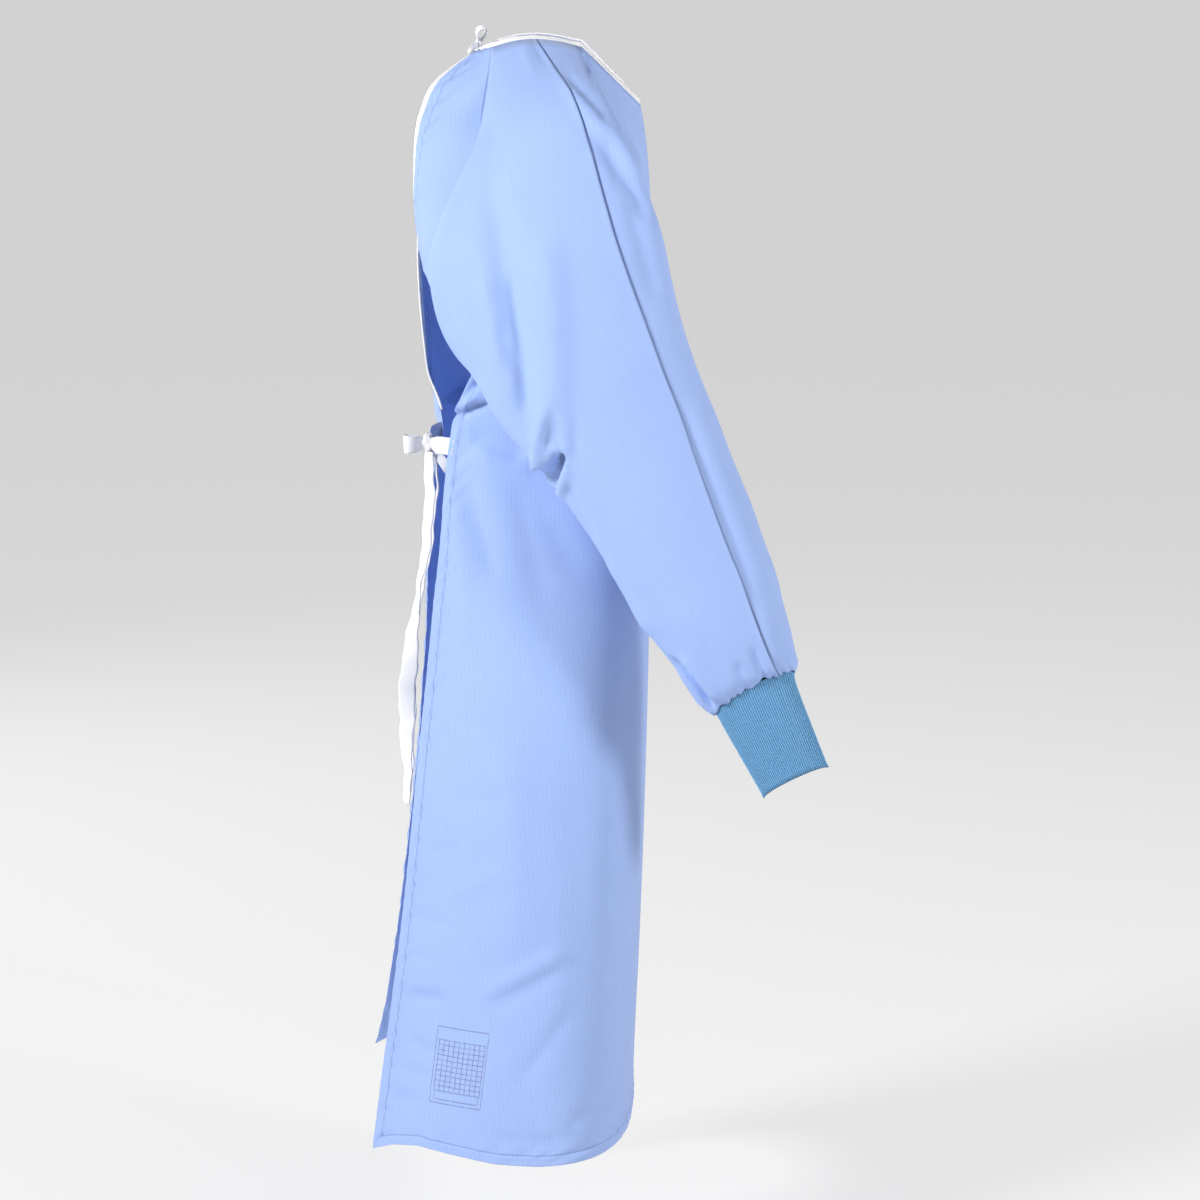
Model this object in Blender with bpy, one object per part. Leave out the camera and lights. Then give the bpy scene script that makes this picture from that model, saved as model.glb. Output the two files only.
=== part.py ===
"""Long-sleeved surgical apron gown that opens down the back, as it hangs when worn.

Metres. +Z is up, the front of the gown faces -Y and the wearer's right side is at -X. The origin lies
midway between the two shoulder points of the neckline, where the wearer's neck and shoulders hold it up.
Each cut piece is one closed wall: a surface worked out from the tables below, thickened inwards.
"""
import math

import bmesh
import bpy
import numpy as np

CLOTH = 0.0016          # wall of the woven cloth
KNIT = 0.0022           # wall of the ribbed cuffs
BINDING = 0.0022        # wall of the folded white edge tape
TAPE = 0.0014           # wall of the tie tapes
SEAM_GAP = 0.0003       # gap between two sewn pieces
SEAM_SHARE = 0.55       # share of the seam gap that each of the two pieces draws back
BINDING_WIDTH = 0.008
TIE_WIDTH = 0.020

FRONT_COLUMNS = 20      # facets of a body row from one side round the front to the other
BACK_COLUMNS = 5        # facets of a body row from one side to its back edge
TAB_ROWS = 10           # facets along each raglan seam
NECK_COLUMNS = 3        # facets from the overarm seam to a raglan seam along the neck
SKIRT_ROW = 0.042       # height of one row of facets below the underarm
SHOULDER_ROWS = (3, 2)  # rows of facets in the first two gaps between the sleeve's rings, then one in each
STRIP_FACETS = 2        # facets across a binding or a tape
CURVE_SAMPLES = 80      # points worked out on each curve before it is cut into facets
SAME_POINT = 1e-6       # points nearer than this are one
SHARP_ANGLE = 50        # degrees between two facets above which their edge is shaded sharp

CLOTH_BLUE = (0.40, 0.53, 0.88)
CUFF_BLUE = (0.14, 0.40, 0.66)
TAPE_WHITE = (0.86, 0.87, 0.88)
ROUGHNESS = 0.85        # of every cloth, knit and tape

# Level sections of the body below the underarm. side is where it is widest, edge is the free back edge and
# corner is how far back the cloth swings before it turns in to that edge. The right back edge stops short of
# the middle at the waist, and the left one is drawn across to the tie. squareness is the power of the front
# curve, where 1 is an ellipse and less is squarer.
BODY_COLUMNS = ("height", "half_width", "side", "front", "squareness",
                "right_corner", "right_edge_x", "right_edge_y",
                "left_corner", "left_edge_x", "left_edge_y")
BODY = (
    (-0.355, 0.172, 0.000, -0.1283, 0.42, 0.040, -0.172, 0.072, 0.118, 0.095, 0.139),
    (-0.385, 0.171, 0.000, -0.1282, 0.44, 0.052, -0.160, 0.086, 0.140, 0.050, 0.134),
    (-0.410, 0.170, 0.000, -0.1281, 0.47, 0.058, -0.149, 0.096, 0.156, 0.018, 0.122),
    (-0.440, 0.170, 0.000, -0.1279, 0.50, 0.062, -0.142, 0.101, 0.158, 0.002, 0.114),
    (-0.490, 0.172, 0.000, -0.1276, 0.55, 0.066, -0.141, 0.107, 0.150, 0.006, 0.123),
    (-0.580, 0.177, 0.002, -0.1270, 0.61, 0.070, -0.143, 0.116, 0.150, 0.018, 0.132),
    (-0.700, 0.188, 0.004, -0.1257, 0.66, 0.077, -0.147, 0.128, 0.150, 0.040, 0.138),
    (-0.800, 0.197, 0.006, -0.1238, 0.68, 0.083, -0.151, 0.139, 0.155, 0.066, 0.148),
    (-0.900, 0.208, 0.008, -0.1212, 0.69, 0.088, -0.157, 0.149, 0.160, 0.094, 0.158),
    (-1.000, 0.219, 0.010, -0.1180, 0.70, 0.093, -0.164, 0.160, 0.165, 0.120, 0.169),
    (-1.100, 0.231, 0.011, -0.1143, 0.70, 0.097, -0.172, 0.173, 0.173, 0.144, 0.181),
    (-1.180, 0.242, 0.012, -0.1108, 0.70, 0.101, -0.179, 0.184, 0.181, 0.164, 0.195),
    (-1.255, 0.252, 0.012, -0.1075, 0.70, 0.105, -0.187, 0.194, 0.190, 0.186, 0.213),
)
HEM_TILT = (0.04, -0.06)    # rise of the hem for each metre towards the left side and towards the back
HEM_RISE = (            # further rise of the hem, by how far back it lies
    (-0.110, 0.003), (0.000, 0.005), (0.050, 0.010), (0.090, 0.018), (0.140, 0.027), (0.170, 0.024), (0.200, 0.012),
)

# Front raglan seam of the right side from the underarm to the neck, with the middle of the front level with
# it. turn is the part of a quarter round, in degrees, that the cloth makes between the two.
FRONT_COLUMN_NAMES = ("x", "y", "z", "middle_y", "middle_z", "turn", "squareness")
FRONT_RAGLAN = (
    (-0.172, 0.000, -0.355, -0.1283, -0.355, 90, 0.42),
    (-0.177, -0.060, -0.346, -0.1284, -0.347, 88, 0.46),
    (-0.184, -0.108, -0.312, -0.1285, -0.322, 82, 0.54),
    (-0.190, -0.132, -0.262, -0.1285, -0.286, 74, 0.64),
    (-0.190, -0.121, -0.221, -0.1284, -0.254, 68, 0.76),
    (-0.180, -0.094, -0.156, -0.1280, -0.200, 62, 0.86),
    (-0.160, -0.076, -0.101, -0.1262, -0.155, 58, 0.90),
    (-0.130, -0.066, -0.058, -0.1232, -0.117, 55, 0.95),
    (-0.100, -0.056, -0.026, -0.1196, -0.089, 52, 1.00),
    (-0.078, -0.049, 0.000, -0.1155, -0.067, 50, 1.00),
)

# Back raglan seam of the right side from the underarm to the neck, with the corner that the cloth swings
# round and the free back edge level with it, on the right and on the left half of the gown.
BACK_COLUMN_NAMES = ("x", "y", "z", "right_corner_x", "right_corner_y", "right_edge_x", "right_edge_y",
                     "right_edge_z", "left_corner_x", "left_corner_y", "left_edge_x", "left_edge_y",
                     "left_edge_z")
BACK_RAGLAN = (
    (-0.172, 0.000, -0.355, -0.172, 0.040, -0.172, 0.072, -0.355, 0.172, 0.118, 0.095, 0.139, -0.355),
    (-0.178, 0.045, -0.338, -0.176, 0.066, -0.171, 0.077, -0.332, 0.175, 0.116, 0.112, 0.142, -0.325),
    (-0.188, 0.082, -0.302, -0.180, 0.094, -0.163, 0.096, -0.298, 0.179, 0.122, 0.127, 0.145, -0.290),
    (-0.197, 0.104, -0.252, -0.178, 0.122, -0.147, 0.126, -0.250, 0.177, 0.131, 0.134, 0.147, -0.245),
    (-0.200, 0.108, -0.203, -0.178, 0.135, -0.136, 0.136, -0.200, 0.176, 0.139, 0.134, 0.147, -0.200),
    (-0.200, 0.094, -0.172, -0.178, 0.132, -0.130, 0.139, -0.169, 0.175, 0.136, 0.130, 0.145, -0.169),
    (-0.190, 0.075, -0.139, -0.168, 0.125, -0.124, 0.138, -0.135, 0.168, 0.128, 0.124, 0.141, -0.135),
    (-0.170, 0.064, -0.102, -0.152, 0.115, -0.117, 0.135, -0.098, 0.152, 0.116, 0.117, 0.136, -0.098),
    (-0.140, 0.061, -0.066, -0.128, 0.100, -0.106, 0.126, -0.066, 0.128, 0.100, 0.106, 0.126, -0.066),
    (-0.120, 0.057, -0.038, -0.108, 0.088, -0.090, 0.115, -0.042, 0.108, 0.088, 0.090, 0.115, -0.042),
    (-0.080, 0.053, 0.000, -0.066, 0.066, -0.048, 0.074, -0.006, 0.066, 0.066, 0.048, 0.074, -0.006),
)

# Neckline of the right sleeve from its overarm seam forwards and backwards to the raglan seams.
NECK_FRONT = ((-0.0855, 0.003, 0.0095), (-0.0840, -0.023, 0.0065), (-0.078, -0.049, 0.000))
NECK_BACK = ((-0.0855, 0.003, 0.0095), (-0.0848, 0.028, 0.0070), (-0.080, 0.053, 0.000))

# Rings of the right sleeve from the shoulder to the cuff seam. Each is an oval through its front, rear, outer
# and inner points; skew is how much nearer the body its front lies than its middle, and its rear how much
# further out; seam is where the overarm seam crosses it, from 0 at the rear to 1 at the front.
SLEEVE_COLUMN_NAMES = ("front_y", "front_z", "rear_y", "rear_z", "outer_x", "outer_z", "inner_x", "inner_z",
                       "skew", "seam")
SLEEVE = (
    (-0.104, -0.118, 0.112, -0.212, -0.226, -0.092, -0.190, -0.360, 0.006, 0.750),
    (-0.127, -0.168, 0.118, -0.2405, -0.262, -0.168, -0.190, -0.370, 0.006, 0.775),
    (-0.139, -0.208, 0.099, -0.2795, -0.276, -0.220, -0.190, -0.380, 0.004, 0.780),
    (-0.149, -0.255, 0.082, -0.319, -0.283, -0.268, -0.190, -0.390, 0.002, 0.803),
    (-0.160, -0.299, 0.069, -0.348, -0.286, -0.310, -0.190, -0.402, 0.000, 0.826),
    (-0.180, -0.357, 0.048, -0.394, -0.288, -0.366, -0.191, -0.424, 0.000, 0.833),
    (-0.196, -0.395, 0.025, -0.426, -0.288, -0.404, -0.192, -0.443, 0.000, 0.828),
    (-0.217, -0.450, -0.012, -0.468, -0.287, -0.455, -0.193, -0.476, 0.000, 0.803),
    (-0.237, -0.498, -0.039, -0.507, -0.285, -0.500, -0.194, -0.511, 0.000, 0.783),
    (-0.251, -0.538, -0.065, -0.546, -0.283, -0.539, -0.195, -0.548, 0.000, 0.772),
    (-0.265, -0.576, -0.094, -0.592, -0.281, -0.581, -0.197, -0.588, 0.000, 0.766),
    (-0.274, -0.612, -0.119, -0.637, -0.279, -0.621, -0.199, -0.628, 0.000, 0.766),
    (-0.283, -0.645, -0.148, -0.676, -0.276, -0.656, -0.203, -0.664, 0.000, 0.758),
    (-0.287, -0.668, -0.172, -0.709, -0.270, -0.682, -0.209, -0.692, 0.000, 0.765),
    (-0.285, -0.688, -0.199, -0.734, -0.257, -0.697, -0.222, -0.716, 0.000, 0.790),
)
UNDERARM_TURN = -100    # degrees round a ring, from its front over the outer side, to the underarm seam
NECK_SPREAD = 0.5       # share of the ring's columns set by their spacing along the armhole

CUFF_ROWS = 4
CUFF = (
    (-0.285, -0.688, -0.199, -0.734, -0.257, -0.697, -0.222, -0.716, 0.000, 0.790),
    (-0.292, -0.712, -0.211, -0.756, -0.256, -0.722, -0.224, -0.738, 0.000, 0.700),
    (-0.325, -0.796, -0.2535, -0.831, -0.255, -0.809, -0.227, -0.817, 0.000, 0.600),
)

# Middle line of each loose tape: its stations, the way its width faces there and the width itself.
TAPE_COLUMN_NAMES = ("x", "y", "z", "width_x", "width_y", "width_z", "width")
WAIST_TAIL_OUTER = (
    (-0.053, 0.1295, -0.4637, 0.70, 0.70, 0.0, 0.016),
    (-0.057, 0.1300, -0.5360, 0.75, 0.65, 0.0, 0.018),
    (-0.059, 0.1360, -0.5880, 0.85, 0.53, 0.0, 0.018),
    (-0.062, 0.1430, -0.6260, 0.97, 0.30, 0.0, 0.018),
    (-0.064, 0.1500, -0.6800, 0.60, 0.80, 0.0, 0.019),
    (-0.065, 0.1550, -0.7300, 0.10, 1.00, 0.0, 0.020),
    (-0.066, 0.1575, -0.7900, 0.50, 0.85, 0.0, 0.020),
    (-0.067, 0.1575, -0.8400, 0.85, 0.50, 0.0, 0.020),
    (-0.067, 0.1585, -0.8780, 0.90, 0.42, 0.0, 0.020),
)
WAIST_TAIL_INNER = (
    (-0.0362, 0.1240, -0.4617, 1.00, 0.15, 0.0, 0.008),
    (-0.031, 0.1215, -0.4850, 1.00, 0.15, 0.0, 0.016),
    (-0.031, 0.1240, -0.5360, 1.00, 0.15, 0.0, 0.018),
    (-0.032, 0.1325, -0.5950, 1.00, 0.20, 0.0, 0.018),
    (-0.035, 0.1430, -0.6420, 1.00, 0.20, 0.0, 0.018),
    (-0.034, 0.1520, -0.7000, 0.85, 0.50, 0.0, 0.018),
    (-0.034, 0.1560, -0.7600, 0.60, 0.80, 0.0, 0.020),
    (-0.035, 0.1575, -0.8300, 0.80, 0.60, 0.0, 0.020),
    (-0.036, 0.1585, -0.8700, 0.90, 0.42, 0.0, 0.020),
)
NECK_TAIL_RIGHT = (
    (-0.0050, 0.0705, -0.0044, 1.0, 0.0, 0.0, 0.008),
    (-0.010, 0.0830, -0.0300, 1.0, 0.1, 0.0, 0.009),
    (-0.014, 0.0860, -0.0700, 1.0, 0.2, 0.0, 0.009),
)
NECK_TAIL_LEFT = (
    (0.0050, 0.0705, -0.0044, 1.0, 0.0, 0.0, 0.008),
    (0.012, 0.0825, -0.0320, 1.0, -0.1, 0.0, 0.009),
    (0.016, 0.0850, -0.0820, 1.0, -0.2, 0.0, 0.009),
)

# Knots, with half their size each way, and the bow loops that leave them.
WAIST_KNOT = ((-0.046, 0.1290, -0.4540), (0.0120, 0.0085, 0.0110))
NECK_KNOT = ((0.000, 0.0700, 0.0020), (0.0060, 0.0045, 0.0060))
LOOP_COLUMN_NAMES = ("along_x", "along_y", "along_z", "length", "opening", "width")
WAIST_LOOPS = {"waist_loop_outer": (-0.25, 0.95, -0.05, 0.020, 0.012, 0.022),
               "waist_loop_inner": (-0.22, -0.75, -1.00, 0.030, 0.008, 0.013)}
NECK_LOOPS = {"neck_loop_right": (-0.55, -0.20, 0.75, 0.016, 0.008, 0.006),
              "neck_loop_left": (0.55, -0.10, 0.75, 0.016, 0.008, 0.006)}
WAIST_TIE_HEIGHT = -0.446
BINDING_ENDS = (-0.338, -0.425)     # height at which the binding of the right and the left back edge ends

RIM_ORDER = np.array([0.3, 0.5, 1.0])   # direction that orders the two ends of a seam edge

LOOP_UPRIGHT = 0.75     # a loop that hangs steeper than this is open across the body
LOOP_FACETS = 10
LOOP_FOOT = 1.4 * TAPE  # how far each end of a loop lies from its middle line
STRAP_FACETS = 5
STRAP_BOW = (0.0, 0.006, 0.0)
STRAP_NARROWING = 0.4   # half width of a strap where it enters its knot, as a share of the knot's half height

# The left sleeve hangs straighter than the right one, hidden behind it from the right side.
LEFT_SWING = 0.030          # metres back for each metre along the sleeve
LEFT_SWING_START = 0.25     # length of sleeve over which the swing sets in


def table(rows, names):
    """Columns of a table by their names."""
    values = np.array(rows, dtype=float)
    return {name: values[:, column] for column, name in enumerate(names)}


def smooth(knots, rows, at):
    """Curve through the rows at the knots; each slope is the weighted mean of its two neighbouring chords."""
    knots, rows, at = (np.asarray(value, dtype=float) for value in (knots, rows, at))
    steps = np.diff(knots)
    chords = np.diff(rows, axis=0) / steps[:, None]
    slopes = np.empty_like(rows)
    slopes[0], slopes[-1] = chords[0], chords[-1]
    slopes[1:-1] = (chords[:-1] * steps[1:, None] + chords[1:] * steps[:-1, None]) / (
        steps[:-1] + steps[1:])[:, None]
    span = np.clip(np.searchsorted(knots, at) - 1, 0, len(steps) - 1)
    width = steps[span][:, None]
    share = (at - knots[span])[:, None] / width
    return (rows[span] * (1 + 2 * share) * (1 - share) ** 2
            + slopes[span] * width * share * (1 - share) ** 2
            + rows[span + 1] * share ** 2 * (3 - 2 * share)
            + slopes[span + 1] * width * share ** 2 * (share - 1))


def run_length(points):
    """Length along a line of points, from 0 at its start."""
    steps = np.linalg.norm(np.diff(points, axis=0), axis=1)
    return np.concatenate(([0.0], np.cumsum(steps)))


def even(points, count):
    """The line of points cut into count equal lengths."""
    length = run_length(points)
    at = np.linspace(0.0, length[-1], count + 1)
    return np.column_stack([np.interp(at, length, points[:, axis]) for axis in range(3)])


def front_half_row(side, middle, turn, squareness):
    """Curve from a side point to the middle of the front: a part of a quarter round, squared by a power."""
    angle = np.linspace(math.radians(turn), 0.0, CURVE_SAMPLES)
    across = (np.sin(angle) / math.sin(math.radians(turn))) ** squareness
    back = (1 - np.cos(angle) ** squareness) / (1 - math.cos(math.radians(turn)) ** squareness)
    rise = (1 - np.cos(angle)) / (1 - math.cos(math.radians(turn)))
    return np.column_stack((side[0] * across,
                            middle[0] + (side[1] - middle[0]) * back,
                            middle[1] + (side[2] - middle[1]) * rise))


def back_row(edge, corner, side):
    """Curve from the back edge to a side point, drawn towards the corner between them."""
    share = np.linspace(0.0, 1.0, CURVE_SAMPLES)[:, None]
    corner = np.array([corner[0], corner[1], (edge[2] + side[2]) / 2])
    return edge * (1 - share) ** 2 + 2 * corner * share * (1 - share) + side * share ** 2


def mirrored(points):
    """The same points on the other side of the gown."""
    return points * np.array([-1.0, 1.0, 1.0])


def front_row(side, middle, turn, squareness):
    """Even row of points from the right side round the front to the left side."""
    half = even(front_half_row(side, middle, turn, squareness), FRONT_COLUMNS // 2)
    return np.vstack((half, mirrored(half[-2::-1])))


def skirt_rows():
    """Rows of the body from the hem up to the underarm, each from the right back edge to the left one."""
    columns = table(BODY, BODY_COLUMNS)
    low, high = columns["height"][-1], columns["height"][0]
    heights = np.linspace(low, high, round((high - low) / SKIRT_ROW) + 1)
    values = smooth(-columns["height"], np.array(BODY)[:, 1:], -heights)
    rows = []
    for height, value in zip(heights, values):
        row = dict(zip(BODY_COLUMNS[1:], value))
        right_side = np.array([-row["half_width"], row["side"], height])
        left_side = mirrored(right_side)
        right_edge = np.array([row["right_edge_x"], row["right_edge_y"], height])
        left_edge = np.array([row["left_edge_x"], row["left_edge_y"], height])
        right = even(back_row(right_edge, (-row["half_width"], row["right_corner"]), right_side), BACK_COLUMNS)
        left = even(back_row(left_edge, (row["half_width"], row["left_corner"]), left_side), BACK_COLUMNS)
        front = front_row(right_side, (row["front"], height), 90, row["squareness"])
        points = np.vstack((right, front[1:-1], left[::-1]))
        down = (high - height) / (high - low)
        points[:, 2] += points[:, :2] @ HEM_TILT * down ** 2
        points[:, 2] += np.interp(points[:, 1], *np.transpose(HEM_RISE)) * down ** 4
        rows.append(points)
    return np.array(rows)


def raglan_rows(rows, count):
    """Rows of a raglan table at equal lengths along its seam, from the underarm to the neck."""
    values = np.array(rows)
    length = run_length(values[:, :3])
    return smooth(length, values, np.linspace(0.0, length[-1], count + 1))


def front_tab():
    """Rows of the chest between the two front raglan seams, from the underarm to the neckline."""
    tab = []
    for row in raglan_rows(FRONT_RAGLAN, TAB_ROWS):
        values = dict(zip(FRONT_COLUMN_NAMES, row))
        tab.append(front_row(row[:3], (values["middle_y"], values["middle_z"]), values["turn"],
                             values["squareness"]))
    return np.array(tab)


def back_tab(left):
    """Rows of one back from its free edge to its raglan seam, from the underarm to the neckline."""
    tab = []
    for row in raglan_rows(BACK_RAGLAN, TAB_ROWS):
        values = dict(zip(BACK_COLUMN_NAMES, row))
        hand = "left_" if left else "right_"
        edge = np.array([values[hand + "edge_x"], values[hand + "edge_y"], values[hand + "edge_z"]])
        side = mirrored(row[:3]) if left else row[:3]
        tab.append(even(back_row(edge, (values[hand + "corner_x"], values[hand + "corner_y"]), side),
                        BACK_COLUMNS))
    return np.array(tab)


def ring(values, turns):
    """Points of a sleeve ring at the given turns from its front over its outer side."""
    row = dict(zip(SLEEVE_COLUMN_NAMES, values))
    front = np.array([0.0, row["front_y"], row["front_z"]])
    rear = np.array([0.0, row["rear_y"], row["rear_z"]])
    centre = (front + rear) / 2
    centre[0] = (row["outer_x"] + row["inner_x"]) / 2
    forward = front - centre
    forward[0] = row["skew"]
    outer = np.array([row["outer_x"] - centre[0], 0.0, row["outer_z"] - centre[2]])
    inner = np.array([centre[0] - row["inner_x"], 0.0, centre[2] - row["inner_z"]])
    sideways = np.where(np.sin(turns)[:, None] > 0, outer, inner)
    return centre + np.cos(turns)[:, None] * forward + np.sin(turns)[:, None] * sideways


def armhole(front_rows, back_rows):
    """Top ring of the right sleeve: overarm, neck, front raglan, underarm, back raglan, neck, overarm."""
    share = np.linspace(0.0, 1.0, NECK_COLUMNS + 1)
    knots = (0.0, 0.5, 1.0)
    front_neck = smooth(knots, NECK_FRONT, share)
    back_neck = smooth(knots, NECK_BACK, share)
    front = front_rows[::-1, 0]
    back = back_rows[:, -1]
    return np.vstack((front_neck[:-1], front, back[1:], back_neck[-2::-1]))


def ring_turns(seam_share, ring_zero, half):
    """Turns of a ring's columns: partly even, partly spaced as the armhole's own points are."""
    seam = math.acos(2 * seam_share - 1)
    under = math.radians(UNDERARM_TURN)
    front_length = run_length(ring_zero[:half + 1])
    back_length = run_length(ring_zero[half:])
    evenly = np.linspace(0.0, 1.0, half + 1)
    front_share = NECK_SPREAD * front_length / front_length[-1] + (1 - NECK_SPREAD) * evenly
    back_share = NECK_SPREAD * back_length / back_length[-1] + (1 - NECK_SPREAD) * evenly
    front = seam + (under - seam) * front_share
    back = under + (seam - 2 * math.pi - under) * back_share
    return np.concatenate((front, back[1:]))


def sleeve_rows(ring_zero, rings, between):
    """Rows of the right sleeve through all its rings; between is how many rows each gap is cut into."""
    half = len(ring_zero) // 2
    known = [ring_zero]
    for values in rings:
        known.append(ring(values, ring_turns(values[-1], ring_zero, half)))
    known = np.array(known)
    steps = np.linalg.norm(np.diff(known, axis=0), axis=2).mean(axis=1)
    knots = np.concatenate(([0.0], np.cumsum(steps)))
    at = [knots[0]]
    for gap, count in enumerate(between):
        at.extend(knots[gap] + (knots[gap + 1] - knots[gap]) * np.arange(1, count + 1) / count)
    flat = smooth(knots, known.reshape(len(known), -1), np.array(at))
    rows = flat.reshape(len(at), -1, 3)
    rows[0] = ring_zero
    return rows


def grid_faces(row_count, column_count, start=0, flip=False):
    """Four-sided faces of a grid of points numbered row by row."""
    row, column = np.meshgrid(np.arange(row_count - 1), np.arange(column_count - 1), indexing="ij")
    corner = (start + row * column_count + column).ravel()
    faces = np.column_stack((corner, corner + 1, corner + column_count + 1, corner + column_count))
    return faces[:, ::-1] if flip else faces


def patch(rows, flip=False):
    """One grid as points and faces."""
    return rows.reshape(-1, 3), grid_faces(rows.shape[0], rows.shape[1], flip=flip)


def joined(patches):
    """Patches that share points along their borders, as one surface."""
    points = np.vstack([part[0] for part in patches])
    starts = np.cumsum([0] + [len(part[0]) for part in patches[:-1]])
    faces = np.vstack([part[1] + start for part, start in zip(patches, starts)])
    keys = np.round(points / SAME_POINT).astype(np.int64)
    _, first, same = np.unique(keys, axis=0, return_index=True, return_inverse=True)
    return points[first], same.ravel()[faces]


def face_normals(points, faces):
    """Normal of each face, as long as twice the face's area."""
    return np.cross(points[faces[:, 2]] - points[faces[:, 0]], points[faces[:, 3]] - points[faces[:, 1]])


def shared_normals(surfaces):
    """Normals of every surface's points, the same on both sides of a seam, and which points lie on seams."""
    keys = np.vstack([np.round(points / SAME_POINT).astype(np.int64) for points, _ in surfaces.values()])
    _, same = np.unique(keys, axis=0, return_inverse=True)
    same = same.ravel()
    shared = np.zeros((same.max() + 1, 3))
    users = np.zeros(len(shared))
    numbers = {}
    start = 0
    for name, (points, faces) in surfaces.items():
        own = np.zeros_like(points)
        normals = face_normals(points, faces)
        normals /= np.linalg.norm(normals, axis=1)[:, None]
        for corner in range(4):
            np.add.at(own, faces[:, corner], normals)
        numbers[name] = same[start:start + len(points)]
        np.add.at(shared, numbers[name], own / np.linalg.norm(own, axis=1)[:, None])
        np.add.at(users, numbers[name], 1)
        start += len(points)
    shared /= np.linalg.norm(shared, axis=1)[:, None]
    return {name: (shared[number], users[number] > 1) for name, number in numbers.items()}


def border_edges(faces):
    """Edges used by one face only, in that face's own direction, and the number of that face."""
    edges = np.vstack([faces[:, (corner, (corner + 1) % 4)] for corner in range(4)])
    owner = np.tile(np.arange(len(faces)), 4)
    _, first, count = np.unique(np.sort(edges, axis=1), axis=0, return_index=True, return_counts=True)
    return edges[first[count == 1]], owner[first[count == 1]]


def drawn_back(points, faces, on_seam):
    """The surface with its sewn borders moved into it by a little over half the seam gap, mitred at corners."""
    edges, owner = border_edges(faces)
    sewn = on_seam[edges].all(axis=1)
    edges, owner = edges[sewn], owner[sewn]
    along = points[edges[:, 1]] - points[edges[:, 0]]
    inward = np.cross(face_normals(points, faces)[owner], along)
    inward /= np.linalg.norm(inward, axis=1)[:, None]
    total = np.zeros_like(points)
    count = np.zeros(len(points))
    for end in (0, 1):
        np.add.at(total, edges[:, end], inward)
        np.add.at(count, edges[:, end], 1)
    moved = count > 0
    total[moved] *= (count[moved] / np.square(total[moved]).sum(axis=1))[:, None]
    return points + total * SEAM_GAP * SEAM_SHARE


def halved(points, faces):
    """Each four-sided face cut along its shorter diagonal."""
    first, second, third, fourth = faces.T
    straight = (np.linalg.norm(points[first] - points[third], axis=1)
                <= np.linalg.norm(points[second] - points[fourth], axis=1))
    lower = np.column_stack((first, second, np.where(straight, third, fourth)))
    upper = np.column_stack((np.where(straight, first, second), third, fourth))
    return np.vstack((lower, upper))


def wall(points, faces, normals, thickness, proud=0.0, rank=None):
    """Closed wall: the surface, its copy moved inwards, and a rim along every free border.

    rank orders the ends of a border edge, so that both pieces of a seam cut their twisted rims the same way.
    """
    rank = points @ RIM_ORDER if rank is None else rank
    outside = points + normals * proud
    inside = points + normals * (proud - thickness)
    start, end = border_edges(faces)[0].T
    rising = rank[start] < rank[end]
    start_inside, end_inside = start + len(points), end + len(points)
    first = np.column_stack((end, start, np.where(rising, start_inside, end_inside)))
    second = np.column_stack((np.where(rising, end, start), start_inside, end_inside))
    skin = halved(points, faces)
    return np.vstack((outside, inside)), np.vstack((skin, skin[:, ::-1] + len(points), first, second))


def fabric(name, colour):
    """Principled material of one piece."""
    material = bpy.data.materials.new(name)
    material.use_nodes = True
    shader = material.node_tree.nodes["Principled BSDF"]
    shader.inputs["Base Color"].default_value = (*colour, 1.0)
    shader.inputs["Roughness"].default_value = ROUGHNESS
    shader.inputs["Metallic"].default_value = 0.0
    return material


def add_piece(name, points, faces, colour):
    """One named object with its own material."""
    mesh = bpy.data.meshes.new(name)
    mesh.from_pydata(points.tolist(), [], faces.tolist())
    mesh.materials.append(fabric(name, colour))
    mesh.shade_smooth()
    mesh.set_sharp_from_angle(angle=math.radians(SHARP_ANGLE))
    piece = bpy.data.objects.new(name, mesh)
    bpy.context.scene.collection.objects.link(piece)


def body_grids():
    """Grids of the wrapped body: skirt rows, chest between the raglan seams, right back and left back."""
    skirt = skirt_rows()
    chest = front_tab()
    right_back = back_tab(left=False)
    left_back = back_tab(left=True)
    skirt[-1] = np.vstack((right_back[0], chest[0, 1:-1], left_back[0, ::-1]))
    return skirt, chest, right_back, left_back


def right_sleeve_grid(chest, right_back):
    """Rows of the right sleeve from the armhole to the cuff seam."""
    ring_zero = armhole(chest, right_back)
    between = SHOULDER_ROWS + (1,) * (len(SLEEVE) - len(SHOULDER_ROWS))
    return sleeve_rows(ring_zero, SLEEVE, between)


def cuff_grid(sleeve):
    """Rows of the right cuff from the last row of its sleeve to the open end."""
    turns = ring_turns(SLEEVE[-1][-1], sleeve[0], sleeve.shape[1] // 2)
    knots = np.linspace(0.0, 1.0, len(CUFF))
    values = smooth(knots, CUFF, np.linspace(0.0, 1.0, CUFF_ROWS + 1))
    cuff = np.array([ring(row, turns) for row in values])
    cuff[0] = sleeve[-1]
    return cuff


def left_limb(sleeve, cuff):
    """The right sleeve and cuff on the left side, swung a little further back below the shoulder."""
    limb = mirrored(np.vstack((sleeve, cuff[1:])))
    along = run_length(limb.mean(axis=1))
    share = np.clip(along / LEFT_SWING_START, 0.0, 1.0)
    limb[..., 1] += (LEFT_SWING * along * share ** 2 * (3 - 2 * share))[:, None]
    return limb[:len(sleeve)], limb[len(sleeve) - 1:]


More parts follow.
